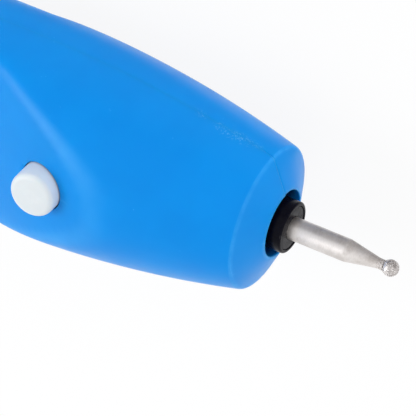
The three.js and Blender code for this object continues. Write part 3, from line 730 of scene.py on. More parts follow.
@dataclass(frozen=True)
class Steel(Finish):
    """Ground or turned steel with fine lines round its axis and faint stains.

    Attributes:
        axis_height: Height of the motor axis in the frame, in metres.
        turned_from: Where the turned taper starts along the frame's x, in millimetres.
        light: Colour of the clean metal.
        dark: Colour in the lines and stains.
        rough: Roughness of the ground shank.
        turned_rough: What the taper adds to it.
        line_depth: Depth of the lines in millimetres.
        line_pitch: Spacing of the lines in millimetres.
    """

    axis_height: float
    turned_from: float
    light: Colour = (0.78, 0.75, 0.735)
    dark: Colour = (0.42, 0.375, 0.34)
    rough: float = 0.42
    turned_rough: float = 0.3
    line_depth: float = 0.0012
    line_pitch: float = 0.08

    def lay(self, paint: Painter, here: Socket) -> None:
        """Sets up the lines, the stains and the duller taper."""
        turned = paint.ranged(paint.split(here)[0], self.turned_from - 0.1, self.turned_from + 0.3)
        lines = paint.noise(paint.turned_place(self.axis_height, 0.25), self.line_pitch, 3, 0.6)
        stain = paint.noise(here, 1.5)
        in_lines = paint.times(paint.ranged(lines, 0.35, 0.65), 0.22)
        in_stains = paint.times(paint.ranged(stain, 0.46, 0.66), 0.28)
        tone = paint.mixed(paint.plus(in_lines, in_stains), self.light, self.dark)
        even = paint.ranged(stain, 0.35, 0.65, self.rough - 0.04, self.rough + 0.05)
        paint.bumps((lines, self.line_depth))
        rough = paint.plus(even, paint.times(turned, self.turned_rough))
        paint.surface(Base_Color=tone, Roughness=rough, Metallic=1.0)


@dataclass(frozen=True)
class Metal(Finish):
    """Plain metal of the inner parts: plated, drawn, pressed or sintered.

    Attributes:
        light: Its clean colour.
        dark: Its stained colour.
        rough: Roughness of the surface.
        grain: Size of its grain in millimetres.
        depth: Depth of its grain in millimetres.
        stretch: How much finer the grain is along each axis.
    """

    light: Colour
    dark: Colour
    rough: float
    grain: float
    depth: float
    stretch: tuple[float, float, float] = (1.0, 1.0, 1.0)

    def lay(self, paint: Painter, here: Socket) -> None:
        """Sets up the grain and the stains."""
        grain = paint.noise(paint.place(self.stretch), self.grain, 3, 0.6)
        stain = paint.noise(here, 2.4, 4, 0.6)
        tone = paint.mixed(paint.ranged(stain, 0.4, 0.66), self.light, self.dark)
        tone = paint.mixed(paint.ranged(grain, 0.3, 0.8, 0, 0.5), tone, self.dark)
        rough = paint.ranged(stain, 0.3, 0.7, self.rough - 0.06, self.rough + 0.12)
        paint.bumps((grain, self.depth))
        paint.surface(Base_Color=tone, Roughness=rough, Metallic=1.0)


@dataclass(frozen=True)
class Grit(Finish):
    """Diamond grit held in plated nickel: bright grains with dark gaps.

    Attributes:
        dull: Colour of the dullest grains.
        bright: Colour of the brightest grains.
        gap: Colour between the grains.
        gap_share: How much of it shows there.
        grain_size: Size of the grains' shine in millimetres.
        gap_size: Spacing of the gaps in millimetres.
        relief: Size and depth in millimetres of the grains' relief and of its finer roughness.
    """

    dull: Colour = (0.80, 0.76, 0.74)
    bright: Colour = (0.98, 0.96, 0.95)
    gap: Colour = (0.26, 0.23, 0.22)
    gap_share: float = 0.65
    grain_size: float = 0.16
    gap_size: float = 0.2
    relief: tuple[Span, ...] = ((0.11, 0.02), (0.05, 0.01))

    def lay(self, paint: Painter, here: Socket) -> None:
        """Sets up grains of differing shine, with gaps and relief."""
        grains = paint.cells(here, self.grain_size, "Color")
        shine = paint.node("SeparateColor", {"Color": grains}).outputs[0]
        gaps = paint.times(paint.ranged(paint.cells(here, self.gap_size), 0.25, 0.6), self.gap_share)
        tone = paint.mixed(gaps, paint.mixed(shine, self.dull, self.bright), self.gap)
        (bump_size, bump_depth), (fine_size, fine_depth) = self.relief
        bumps, fine = paint.cells(here, bump_size), paint.noise(here, fine_size, detail=2)
        paint.bumps((bumps, bump_depth), (fine, fine_depth))
        paint.surface(Base_Color=tone, Roughness=paint.ranged(shine, 0, 1, 0.12, 0.4), Metallic=0.9)


@dataclass(frozen=True)
class Covered(Finish):
    """Soft or printed covering: wire cover and the film round a cell.

    Attributes:
        colour: Its colour.
        deep: Its darker tone.
        rough: Roughness of the surface.
        metallic: How metallic the film looks.
    """

    colour: Colour
    deep: Colour
    rough: float = 0.42
    metallic: float = 0.0

    def lay(self, paint: Painter, here: Socket) -> None:
        """Sets up soft mottling and a fine grain."""
        cloud = paint.noise(here, 1.8, 4)
        tone = paint.mixed(paint.ranged(cloud, 0.35, 0.65), self.colour, self.deep)
        rough = paint.clouds(here, 0.9, self.rough - 0.05, self.rough + 0.1)
        paint.bumps((cloud, 0.02), (paint.noise(here, 0.1, 2), 0.003))
        paint.surface(Base_Color=tone, Roughness=rough, Metallic=self.metallic)


@dataclass
class CaseForm:
    """The outer form of the case: a turned body between two slabs, blended softly where they meet."""

    rim_radius: float = 9.6
    rim_fillet: float = 0.66
    widest_radius: float = 14.0
    widest_place: float = 38.0
    nose_power: float = 2.17
    tail_place: float = 141.0
    tail_radius: float = 10.5
    tail_fillet: float = 4.0
    tail_rings: tuple[float, ...] = (TIP, 0.3, 0.6, 0.85)
    cone_depth: float = 2.24
    hole_radius: float = 4.4
    handle_height: float = 7.3
    panel_foot: float = 36.2
    panel_angle: float = math.radians(24.3)
    panel_bow: float = 58.0
    panel_crown: float = 80.0
    crown_least: float = 1e-9
    foot_softness: float = 0.25
    foot_straight: float = 30.0
    crease_sharpness: float = 30.0
    # Shape of the mask of the painted highlight along the crease ridges: its sink, width and fade towards
    # the nose.
    ridge_sink: float = 0.34
    ridge_width: float = 1.1
    ridge_least: float = 0.2
    ridge_end: float = 16.0
    ridge_run: float = 11.0
    groove_depth: float = 0.14
    body_groove_depth: float = 0.01
    groove_half_width: float = 0.13
    groove_step: float = math.radians(0.15)
    groove_steps: int = 4
    ring_step: float = 1.1
    nose_ring_step: float = 0.32
    nose_zone: float = 14.0
    flats: int = 216
    tail_steps: int = 13
    rim_steps: int = 14
    cone_steps: int = 8

    def body_radius(self, x: float) -> float:
        """Returns the radius of the turned body.

        Args:
            x: Place along the pen.

        Returns:
            The radius there.
        """
        swell = self.widest_radius
        if x > -self.widest_place:
            return swell - (swell - self.rim_radius) * (1 + x / self.widest_place) ** self.nose_power
        share = min(1.0, (-x - self.widest_place) / (self.tail_place - self.widest_place))
        return swell - (swell - self.tail_radius) * (1 - math.cos(math.pi * share)) / 2

    def slab_height(self, x: float) -> float:
        """Returns the height of the flat faces above the axis, with the bend at their foot rounded.

        Args:
            x: Place along the pen.

        Returns:
            The height there.
        """
        rise = (x + self.panel_foot) / self.foot_softness
        run = self.foot_softness * (rise if rise > self.foot_straight else math.log1p(math.exp(rise)))
        return self.handle_height + run * math.tan(self.panel_angle) - run**2 / (2 * self.panel_bow)

    def panel_level(self, x: float, y: float) -> float:
        """Returns the height of the button's panel above the axis at a place on it."""
        crown = self.panel_crown
        return self.slab_height(x) - (crown - math.sqrt(crown**2 - y**2))

    def angles(self) -> np.ndarray:
        """Returns the angles round a section, closer together at the parting line."""
        even = np.arange(self.flats) * TURN / self.flats
        steps = np.arange(-self.groove_steps, self.groove_steps + 1)
        near = steps[steps != 0] * self.groove_step
        both = np.concatenate([near, near + math.pi]) % TURN
        return np.unique(np.round(np.concatenate([even, both]), 9))

    def section(self, x: float, radius: float, inset: float) -> np.ndarray:
        """Returns the outline of the case at a place along the pen.

        Args:
            x: Place along the pen.
            radius: Radius of the turned body there.
            inset: How far the outline lies inside the outer face; the parting line's groove needs 0.

        Returns:
            The points of the outline, one row each.
        """
        angles = self.angles()
        side, up = np.cos(angles), np.sin(angles)
        height = self.slab_height(x) - inset
        crown = np.maximum(side**2 / (2 * self.panel_crown), self.crown_least)
        reach = np.full(angles.shape, FAR)
        above = up > TINY
        below = up < -TINY
        rise = up[above]
        reach[above] = (np.sqrt(rise**2 + 4 * crown[above] * height) - rise) / (2 * crown[above])
        reach[below] = height / -up[below]
        small = max(radius - inset, TIP)
        power = self.crease_sharpness
        nearest = np.minimum(small, reach)
        spread = (small / nearest) ** -power + (reach / nearest) ** -power
        length = nearest * spread ** (-1 / power)
        if inset == 0:
            away = np.abs(length * up) / self.groove_half_width
            depth = self.groove_depth if x > -self.rim_fillet else self.body_groove_depth
            length = length - depth * np.clip(1 - away, 0, 1)
        return np.column_stack([np.full(angles.shape, x), length * side, length * up])

    def outline(self, inset: float) -> Profile:
        """Returns the profile of the turned body from the tail to the edge of the hole.

        Args:
            inset: How far it lies inside the outer face.

        Returns:
            Places along the pen with the radius of the outer body there.
        """
        tail = -self.tail_place + inset
        fillet = self.tail_fillet
        flat = self.tail_radius - fillet
        points: Profile = [(tail, flat * share) for share in self.tail_rings]
        for turn in np.linspace(0, math.pi / 2, self.tail_steps):
            points.append((tail + fillet * (1 - math.cos(turn)), flat + fillet * math.sin(turn)))
        start, middle, end = points[-1][0] + self.ring_step, -self.nose_zone, -2 * self.rim_fillet
        handle = np.linspace(start, middle, round((middle - start) / self.ring_step))
        nose = np.linspace(middle, end, round((end - middle) / self.nose_ring_step))[1:]
        points += [(x, self.body_radius(x)) for x in (*handle, *nose)]
        corner = [points[-1], (0.0, self.rim_radius), (self.cone_depth, self.hole_radius)]
        points += softened(corner, {1: self.rim_fillet}, self.rim_steps)[1:-1]
        rim_place, rim_radius = points[-1]
        for share in np.linspace(0, 1, self.cone_steps + 1)[1:]:
            x = rim_place + (self.cone_depth - rim_place) * share
            points.append((x, rim_radius + (self.hole_radius - rim_radius) * share))
        points += [(self.cone_depth, self.hole_radius / 2), (self.cone_depth, TIP)]
        return [(x - inset if x > -self.nose_zone else x, radius) for x, radius in points]

    def solid(self, shop: Workshop, name: str, inset: float = 0.0) -> Piece:
        """Makes the whole case as one closed body, a distance inside the outer face."""
        rings = [self.section(x, radius, inset) for x, radius in self.outline(inset)]
        return shop.rings(name, np.array(rings))

    def mark_ridge_highlight(self, piece: Piece) -> Piece:
        """Stores for each corner how near it lies to an edge of the flat faces, 1 on the edge and fading
        out towards the nose: the mask of the painted highlight along the crease.

        Args:
            piece: The piece, which keeps these values with its mesh.

        Returns:
            The same piece.
        """
        ridge_highlight = piece.data.attributes.new("ridge_highlight", "FLOAT", "POINT")
        for corner in piece.data.vertices:
            x, y, z = corner.co
            radius = max(math.hypot(y, z), MM)
            lead = self.body_radius(min(x, 0.0)) - radius + self.slab_height(x) - abs(z)
            past = lead - self.ridge_sink * (1 + abs(z) / radius)
            width = self.ridge_width * math.hypot(y / radius, self.ridge_least)
            near = min(1.0, max(0.0, 1 - past / width))
            fade = min(1.0, max(0.0, (-self.ridge_end - x) / self.ridge_run))
            ridge_highlight.data[corner.index].value = near * fade
        return piece


@dataclass
class PushButton:
    """The white push button: a cap with a flange that stops it under the panel."""

    place: float = 26.6
    radius: float = 3.1
    top: float = 13.45
    edge_fillet: float = 0.75
    dish: float = 0.05
    flange_radius: float = 3.9
    flange_thickness: float = 0.8
    flange_top: float = 7.1
    flange_fillet: float = 0.15
    clearance: float = 0.16
    lead_in: float = 0.12
    lead_shape: tuple[tuple[float, float], ...] = ((1.0, 0.0), (0.4, 0.15), (0.0, 0.7))
    segments: int = 96
    round_steps: int = 10

    def cap(self, shop: Workshop) -> Piece:
        """Makes the cap.

        Args:
            shop: Makes the mesh.

        Returns:
            The cap.
        """
        low = self.flange_top - self.flange_thickness
        outline = [
            (low, TIP),
            (low, self.flange_radius),
            (self.flange_top, self.flange_radius),
            (self.flange_top, self.radius + self.dish),
            (self.top, self.radius),
            (self.top, self.radius / 3),
            (self.top, TIP),
        ]
        fillets = {1: self.flange_fillet, 2: self.flange_fillet, 4: self.edge_fillet}
        outline = softened(outline, fillets, self.round_steps)
        return shop.turned("button_cap_smooth", outline, self.segments, Axis.UPRIGHT, (-self.place, 0.0))

    def hole(self, shop: Workshop, case: CaseForm) -> Piece:
        """Makes the tool that cuts the button's hole, with a soft edge that follows the panel.

        Args:
            shop: Makes the mesh.
            case: The form that has the panel.

        Returns:
            The tool.
        """
        radius = self.radius + self.clearance
        lead = [(self.lead_in * drop, self.lead_in * spread) for drop, spread in self.lead_shape]
        rings = []
        for drop, spread in ((None, 0.0), *lead, (-OVERRUN, OVERRUN * 3)):
            ring = []
            for angle in np.arange(self.segments) * TURN / self.segments:
                side, across = math.cos(angle), math.sin(angle)
                level = case.panel_level(-self.place + radius * side, radius * across)
                height = self.flange_top if drop is None else level - drop
                ring.append([-self.place + (radius + spread) * side, (radius + spread) * across, height])
            rings.append(ring)
        return shop.rings("button_hole", np.array(rings))


@dataclass
class Screws:
    """The three cross-slot screws that hold the halves together from below."""

    head_radius: float = 1.75
    head_thickness: float = 1.3
    crown_step: float = 0.12
    crown_height: float = 0.5
    head_chamfer: float = 0.1
    shank_radius: float = 1.0
    length: float = 8.0
    seat: float = 4.0
    tip: float = 0.9
    slot_length: float = 2.2
    slot_width: float = 0.42
    slot_depth: float = 0.6
    thread_pitch: float = 0.8
    thread_depth: float = 0.16
    thread_shape: tuple[float, float, float] = (0.45, 0.8, 0.88)
    clearance: float = 0.15
    pocket_lead: float = 0.2
    segments: int = 48
    nodes: tuple[str, ...] = ("case_screw_left", "case_screw_right", "case_screw_tail")

    def centre(self, shop: Workshop, node: str) -> tuple[float, float]:
        """Returns where a screw stands, read from its solid."""
        low, high = shop.place.box(node)
        return tuple((low + high) / 2)[:2]

    def pocket(self, shop: Workshop, node: str, face: float) -> Piece:
        """Makes the tool that sinks a screw's head below a face.

        Args:
            shop: Makes the mesh.
            node: The screw's solid.
            face: Height of the face.

        Returns:
            The tool.
        """
        radius = self.head_radius + self.clearance
        lead = self.pocket_lead
        outline = [
            (-self.seat, TIP),
            (-self.seat, radius),
            (face + lead, radius),
            (face - OVERRUN, radius + lead + OVERRUN),
            (face - OVERRUN, TIP),
        ]
        return shop.turned("screw_pocket", outline, self.segments, Axis.UPRIGHT, self.centre(shop, node))

    def outline(self) -> Profile:
        """Returns the profile of a screw: domed head, thread and tip."""
        under = -self.seat - self.head_thickness
        outline = [
            (under, TIP),
            (under, self.head_radius * 0.5),
            (under + self.crown_step, self.head_radius * 0.8),
            (under + self.crown_height, self.head_radius),
            (-self.seat - self.head_chamfer, self.head_radius),
            (-self.seat, self.head_radius - self.head_chamfer),
            (-self.seat, self.shank_radius),
        ]
        root = self.shank_radius - self.thread_depth
        for turn in range(int((self.length - self.tip) / self.thread_pitch)):
            for place, radius in zip(self.thread_shape, (root, self.shank_radius, self.shank_radius)):
                outline.append((-self.seat + self.thread_pitch * (turn + place), radius))
        end = self.length - self.seat
        return outline + [(end, self.shank_radius / 3), (end, TIP)]

    def screw(self, shop: Workshop, node: str) -> Piece:
        """Makes one screw with a cross-slotted head.

        Args:
            shop: Makes and cuts the meshes.
            node: The screw's solid.

        Returns:
            The screw.
        """
        x, y = centre = self.centre(shop, node)
        piece = shop.turned(node + "_smooth", self.outline(), self.segments, Axis.UPRIGHT, centre)
        half, thin = self.slot_length / 2, self.slot_width / 2
        under = -self.seat - self.head_thickness
        for wide, narrow in ((half, thin), (thin, half)):
            low = (x - wide, y - narrow, under - OVERRUN)
            high = (x + wide, y + narrow, under + self.slot_depth)
            shop.combine(piece, shop.block("cross_slot", low, high))
        return piece


@dataclass
class Door:
    """The battery door: a flat slide with a lip on each side, closed off by the tail."""

    front: float = 39.2
    half_width: float = 6.3
    lip_reach: float = 1.0
    lip_thickness: float = 0.9
    thickness: float = 1.8
    clearance: float = 0.15
    grip_count: int = 5
    grip_pitch: float = 2.2
    grip_width: float = 0.9
    grip_depth: float = 0.45
    grip_half_length: float = 4.0
    grip_inset: float = 5.0
    grip_flats: int = 32
    grip_slope: tuple[tuple[float, float], ...] = ((0.0, 1.15), (0.75, 0.8), (1.0, 0.45))
    grip_flare: float = 2.6
    edge_lead: float = 0.18

    def space(self, shop: Workshop, case: CaseForm, clearance: float) -> Piece:
        """Makes the body of the door's space.

        Args:
            shop: Makes the meshes.
            case: The form that the door closes.
            clearance: How much wider the space is than the door.

        Returns:
            The body.
        """
        tail = -case.tail_place - OVERRUN
        front = -self.front + clearance
        ledge = -case.handle_height + self.lip_thickness
        inner = -case.handle_height + self.thickness + clearance
        lip = self.half_width + self.lip_reach + clearance
        stem = self.half_width + clearance
        wide = shop.block("door_lips", (tail, -lip, ledge - clearance), (front, lip, inner))
        below = -case.handle_height - OVERRUN
        narrow = shop.block("door_stem", (tail, -stem, below), (front, stem, inner))
        return shop.combine(wide, narrow, Join.ADD)

    def rim_tool(self, shop: Workshop, case: CaseForm) -> Piece:
        """Makes a wedge-edged frame that breaks the sharp edge round the door's space.

        Args:
            shop: Makes the mesh.
            case: The form that the door closes.

        Returns:
            The tool.
        """
        lead = self.edge_lead
        face = -case.handle_height
        tail = -case.tail_place - OVERRUN * 3
        rows = []
        for level, spread in ((face - OVERRUN, OVERRUN + lead), (face + lead, 0.0)):
            front = -self.front + self.clearance + spread
            side = self.half_width + self.clearance + spread
            plan = ((tail, -side), (front, -side), (front, side), (tail, side))
            rows.append([[x, y, level] for x, y in plan])
        return shop.rings("door_rim", np.array(rows, float))

    def grip(self, shop: Workshop, case: CaseForm, number: int) -> Piece:
        """Makes the tool that cuts a thumb groove with round ends and sloping sides.

        Args:
            shop: Makes the mesh.
            case: The form that the door closes.
            number: Which groove it is, from the front.

        Returns:
            The tool.
        """
        half = self.grip_width / 2
        middle = -self.front - self.grip_inset - self.grip_pitch * number - half
        ends = self.grip_half_length - half
        slope = [(self.grip_depth * share, scale) for share, scale in self.grip_slope]
        rings = []
        for level, scale in ((-OVERRUN, self.grip_flare), *slope):
            ring = []
            for angle in np.arange(self.grip_flats) * TURN / self.grip_flats:
                x = middle + half * scale * math.cos(angle)
                y = math.copysign(ends, math.sin(angle)) + half * scale * math.sin(angle)
                ring.append([x, y, -case.handle_height + level])
            rings.append(ring)
        return shop.rings("grip", np.array(rings))

    def door(self, shop: Workshop, case: CaseForm) -> Piece:
        """Makes the door from the outer form of the case.

        Args:
            shop: Makes and cuts the meshes.
            case: The form that the door closes.

        Returns:
            The door.
        """
        piece = case.solid(shop, "battery_door_smooth")
        shop.combine(piece, self.space(shop, case, 0.0), Join.COMMON)
        for number in range(self.grip_count):
            shop.combine(piece, self.grip(shop, case, number))
        return case.mark_ridge_highlight(piece)


@dataclass
class Case:
    """The two halves of the case, made from the outer form with the solids' own ribs inside."""

    form: CaseForm
    button: PushButton
    screws: Screws
    door: Door
    skin: float = 0.6
    hole_lead: float = 0.14
    hole_depth: float = 3.0
    hole_step: float = 0.16
    segments: int = 128

    def hole_tool(self, shop: Workshop, spread: float) -> Piece:
        """Makes the tool that bores the nose and breaks the edge of the hole.

        Args:
            shop: Makes the mesh.
            spread: How much wider than the nose's hole it bores.

        Returns:
            The tool.
        """
        radius = self.form.hole_radius + spread
        front = self.form.cone_depth
        lead = self.hole_lead
        outline = [
            (-self.hole_depth, TIP),
            (-self.hole_depth, radius),
            (front - lead * 2, radius),
            (front - lead, radius + lead * 0.25),
            (front + OVERRUN, radius + OVERRUN * 1.4),
            (front + OVERRUN, TIP),
        ]
        return shop.turned("nose_hole", outline, self.segments)

    def side_block(self, shop: Workshop, side: int, past: float) -> Piece:
        """Makes a block round one side of the case.

        Args:
            shop: Makes the mesh.
            side: 1 for the side above the parting plane, -1 for the side below it.
            past: How far the block reaches past that plane.

        Returns:
            The block.
        """
        wide = self.form.widest_radius + OVERRUN
        low, high = sorted((-side * past, side * wide))
        return shop.block("side", (-self.form.tail_place - wide, -wide, low), (wide, wide, high))

    def half(self, shop: Workshop, node: str, side: int) -> Piece:
        """Makes one half: the outer form less the hollow that its solid leaves.

        Args:
            shop: Makes and cuts the meshes.
            node: The solid that gives the ribs and bosses.
            side: 1 for the half above the parting plane, -1 for the half below it.

        Returns:
            The half.
        """
        hollow = self.form.solid(shop, "hollow", self.skin)
        shop.combine(hollow, self.side_block(shop, side, OVERRUN), Join.COMMON)
        shop.combine(hollow, shop.copy_of("ribs", node))
        half = self.form.solid(shop, node + "_smooth")
        shop.combine(half, self.side_block(shop, side, 0.0), Join.COMMON)
        shop.combine(half, hollow)
        return shop.combine(half, self.hole_tool(shop, self.hole_step if side < 0 else 0.0))

    def upper(self, shop: Workshop) -> Piece:
        """Makes the half with the button's panel."""
        half = self.half(shop, "upper_shell", 1)
        return self.form.mark_ridge_highlight(shop.combine(half, self.button.hole(shop, self.form)))

    def lower(self, shop: Workshop) -> Piece:
        """Makes the half with the battery door.

        Args:
            shop: Makes and cuts the meshes.

        Returns:
            The half.
        """
        half = self.half(shop, "lower_shell", -1)
        shop.combine(half, self.door.space(shop, self.form, self.door.clearance))
        shop.combine(half, self.door.rim_tool(shop, self.form))
        for node in self.screws.nodes[:2]:
            shop.combine(half, self.screws.pocket(shop, node, -self.form.handle_height))
        return self.form.mark_ridge_highlight(half)


@dataclass
class Chuck:
    """The black chuck: an outer sleeve with a rounded rim round a flat gripping insert."""

    front: float = 3.64
    length: float = 10.0
    outer_radius: float = 3.45
    rear_fillet: float = 0.3
    edge_fillet: float = 0.3
    insert_radius: float = 2.95
    insert_inset: float = 0.08
    lip: float = 0.07
    fit: float = 0.05
    web: float = 0.6
    grip_length: float = 3.0
    shaft_radius: float = 1.0
    segments: int = 128

    def sleeve(self, shop: Workshop) -> Piece:
        """Makes the outer sleeve.

        Args:
            shop: Makes the mesh.

        Returns:
            The sleeve.
        """
        rear = self.front - self.length
        outline = [
            (rear, self.insert_radius),
            (rear, self.outer_radius),
            (self.front, self.outer_radius),
            (self.front, self.insert_radius),
            (rear, self.insert_radius),
        ]
        fillets = {1: self.rear_fillet, 2: self.edge_fillet, 3: self.lip}
        return shop.turned("chuck_sleeve_smooth", softened(outline, fillets, 10), self.segments)

    def insert(self, shop: Workshop, shank: float) -> Piece:
        """Makes the insert that grips the burr and the motor shaft.

        Args:
            shop: Makes the mesh.
            shank: Radius of the burr's shank.

        Returns:
            The insert.
        """
        rear = self.front - self.length
        front = self.front - self.insert_inset
        floor = rear + self.grip_length
        radius = self.insert_radius - self.fit
        bore = shank + self.fit
        shaft = self.shaft_radius + self.fit
        outline = [
            (rear, shaft),
            (rear, radius),
            (front, radius),
            (front, bore),
            (floor + self.web, bore),
            (floor + self.web, TIP),
            (floor, TIP),
            (floor, shaft),
            (rear, shaft),
        ]
        outline = softened(outline, {2: self.lip, 3: self.lip}, 4)
        return shop.turned("chuck_insert_smooth", outline, self.segments)


@dataclass
class BallBurr:
    """The steel burr: ground shank, turned taper, thin neck and a ball set with diamond grit."""

    tail: float = -2.61
    shank_radius: float = 1.5
    tail_chamfer: float = 0.3
    taper_start: float = 11.33
    neck_start: float = 15.85
    neck_radius: float = 0.68
    ball_place: float = 17.47
    ball_radius: float = 1.12
    shoulder_fillet: float = 0.5
    neck_fillet: float = 0.8
    neck_grit: float = 1.0
    neck_gather: float = 1.6
    grit_size: float = 0.13
    grit_sink: float = 0.45
    grit_shape: tuple[float, float, float] = (0.62, 0.5, 0.42)
    grit_count: int = 520
    grit_sway: float = 0.25
    neck_grit_count: int = 150
    grit_seed: int = 11
    segments: int = 96
    ball_steps: int = 40
    ball_end: float = 0.02
    rear_share: float = 0.97
    ball_sizes: Span = (0.55, 1.0)
    neck_sizes: Span = (0.4, 0.8)

    def shank(self, shop: Workshop) -> Piece:
        """Makes the shank with its taper and neck.

        Args:
            shop: Makes the mesh.

        Returns:
            The shank.
        """
        joint = self.ball_place - math.sqrt(self.ball_radius**2 - self.neck_radius**2)
        outline = [
            (self.tail, TIP),
            (self.tail, self.shank_radius - self.tail_chamfer),
            (self.tail + self.tail_chamfer, self.shank_radius),
            (self.taper_start, self.shank_radius),
            (self.neck_start, self.neck_radius),
            (joint, self.neck_radius),
            (joint, TIP),
        ]
        fillets = {3: self.shoulder_fillet, 4: self.neck_fillet}
        return shop.turned("burr_shank_smooth", softened(outline, fillets, 10), self.segments)

    def grain(self, form: Form, chance: Chance, centre: Vector, size: float) -> None:
        """Adds one irregular grain to a mesh.

        Args:
            form: The mesh.
            chance: Gives the grain's turn.
            centre: The grain's middle.
            size: The grain's size.
        """
        spin = Matrix.Rotation(chance.uniform(0, TURN), 4, Vector(chance.normal(size=3)).normalized())
        shape = Matrix.Diagonal((*(size * share for share in self.grit_shape), 1))
        matrix = Matrix.Translation(centre) @ spin @ shape
        bmesh.ops.create_icosphere(form, subdivisions=1, radius=1, matrix=matrix)

    def ball_grains(self, form: Form, chance: Chance, core: float) -> None:
        """Sets grains all over the ball, outside the neck, that end at its full radius.

        Args:
            form: The ball's mesh.
            chance: Gives sizes and places.
            core: Radius of the ball under the grains.
        """
        golden = math.pi * (3 - math.sqrt(5))
        rear = -math.cos(math.asin(self.neck_radius / core)) * self.rear_share
        for i in range(self.grit_count):
            along = 1 - 2 * (i + 0.5) / self.grit_count
            turn = golden * i + chance.uniform(-self.grit_sway, self.grit_sway)
            round_way = math.sqrt(1 - along**2)
            out = Vector((along, round_way * math.cos(turn), round_way * math.sin(turn)))
            if along < rear:
                continue
            size = self.grit_size * chance.uniform(*self.ball_sizes)
            reach = self.ball_radius - size * self.grit_shape[0]
            self.grain(form, chance, Vector((self.ball_place, 0, 0)) + out * reach, size)

    def neck_grains(self, form: Form, chance: Chance, joint: float) -> None:
        """Sets smaller grains on the neck, fewer away from the ball.

        Args:
            form: The ball's mesh.
            chance: Gives sizes and places.
            joint: Where the ball starts along the pen.
        """
        slope = (self.shank_radius - self.neck_radius) / (self.neck_start - self.taper_start)
        for _ in range(self.neck_grit_count):
            x = joint - self.neck_grit * chance.uniform(0, 1) ** self.neck_gather
            turn = chance.uniform(0, TURN)
            radius = self.neck_radius + slope * max(0.0, self.neck_start - x)
            size = self.grit_size * chance.uniform(*self.neck_sizes)
            self.grain(form, chance, Vector((x, radius * math.cos(turn), radius * math.sin(turn))), size)

    def ball(self, shop: Workshop) -> Piece:
        """Makes the ball, set with small irregular grains.

        Args:
            shop: Makes the mesh.

        Returns:
            The ball with the grains on it and on the neck.
        """
        core = self.ball_radius - self.grit_size * self.grit_sink
        joint = self.ball_place - math.sqrt(core**2 - self.neck_radius**2)
        start = math.pi - math.asin(self.neck_radius / core)
        outline: Profile = [(joint, TIP), (joint, self.neck_radius)]
        for angle in np.linspace(start, self.ball_end, self.ball_steps)[1:]:
            outline.append((self.ball_place + core * math.cos(angle), core * math.sin(angle)))
        piece = shop.turned("burr_ball_grit", outline, self.segments)
        form = bmesh.new()
        form.from_mesh(piece.data)
        chance = np.random.default_rng(self.grit_seed)
        self.ball_grains(form, chance, core)
        self.neck_grains(form, chance, joint)
        form.to_mesh(piece.data)
        form.free()
        return piece


@dataclass
class Cells:
    """The two dry cells in line, each a film-wrapped can with a cap and a base."""

    radius: float = 5.25
    length: float = 44.5
    nub_radius: float = 1.9
    nub_height: float = 1.0
    film: float = 0.08
    band: float = 9.0
    base_inset: float = 1.0
    base_step: float = 0.25
    can_start: float = 0.45
    film_start: float = 0.7
    crimp: float = 0.1
    crimp_start: float = 0.5
    crimp_inset: float = 1.1
    base_groove: float = 0.3
    gasket_depth: float = 0.35
    nub_foot: float = 0.5
    nodes: tuple[str, ...] = ("cell_front", "cell_rear")
    segments: int = 96

    def cell(self, shop: Workshop, node: str) -> Piece:
        """Makes one cell where its solid lies.

        Args:
            shop: Makes the mesh.
            node: The cell's solid.

        Returns:
            The cell, with its metal, film and band as first, second and third material.
        """
        tip = shop.place.box(node)[1].x
        end = tip - self.length
        shoulder = tip - self.nub_height
        can = self.radius - self.film
        outline = [
            (end, TIP),
            (end, self.radius - self.base_inset),
            (end + self.base_step, self.radius - self.base_inset + self.crimp),
            (end + self.base_step, can - self.base_groove),
            (end + self.can_start, can),
            (end + self.film_start, can),
            (end + self.film_start, self.radius),
            (shoulder - self.crimp_start, self.radius),
            (shoulder - self.crimp, self.radius - self.crimp_start + 0.05),
            (shoulder - self.crimp, self.radius - self.crimp_inset),
            (shoulder - self.gasket_depth, self.radius - self.crimp_inset - self.crimp),
            (shoulder - self.gasket_depth, self.nub_radius + self.nub_foot),
            (shoulder, self.nub_radius),
            (tip, self.nub_radius),
            (tip, TIP),
        ]
        fillets = {1: 0.1, 4: 0.12, 7: 0.15, 8: 0.12, 13: 0.3}
        piece = shop.turned(node + "_wrapped", softened(outline, fillets, 4), self.segments)
        for face in piece.data.polygons:
            at = face.center
            out = math.hypot(at.y, at.z)
            rear = end + self.film_start - self.crimp
            wrapped = out > can - self.crimp_start and rear < at.x < shoulder
            face.material_index = (2 if at.x > shoulder - self.band else 1) if wrapped else 0
        return piece


@dataclass
class Coil:
    """A coil of round wire that stands in the place of its solid.

    Attributes:
        node: The solid that it replaces.
        axis: The line that it winds about.
        start_radius: Radius of the coil at its low or rear end.
        end_radius: Radius of the coil at its other end.
        wire_radius: Radius of the wire.
        curls: How many turns it has.
        steps: Rings in one turn.
        sides: Flats round the wire.
    """

    node: str
    axis: Axis
    start_radius: float
    end_radius: float
    wire_radius: float
    curls: int = 3
    steps: int = 40
    sides: int = 14

    def made(self, shop: Workshop) -> Piece:
        """Makes the coil between the ends of its solid.

        Args:
            shop: Makes the mesh.

        Returns:
            The coil.
        """
        low, high = shop.place.box(self.node)
        long = self.axis is Axis.LONG
        along = Vector((1, 0, 0)) if long else Vector((0, 0, 1))
        first = Vector((0, 1, 0)) if long else Vector((1, 0, 0))
        second = along.cross(first)
        middle = (low + high) / 2
        foot = middle - along * middle.dot(along) + along * (low.dot(along) + self.wire_radius)
        rise = (high - low).dot(along) - self.wire_radius * 2
        if long:
            foot = along * foot.dot(along)
        rings = []
        for step in range(self.curls * self.steps + 1):
            share = step / (self.curls * self.steps)
            turn = TURN * self.curls * share
            out = first * math.cos(turn) + second * math.sin(turn)
            radius = self.start_radius + (self.end_radius - self.start_radius) * share
            centre = foot + along * (rise * share) + out * radius
            ring = []
            for angle in np.arange(self.sides) * TURN / self.sides:
                ring.append(centre + (out * math.cos(angle) + along * math.sin(angle)) * self.wire_radius)
            rings.append(ring)
        return shop.rings(self.node + "_wire", np.array(rings))


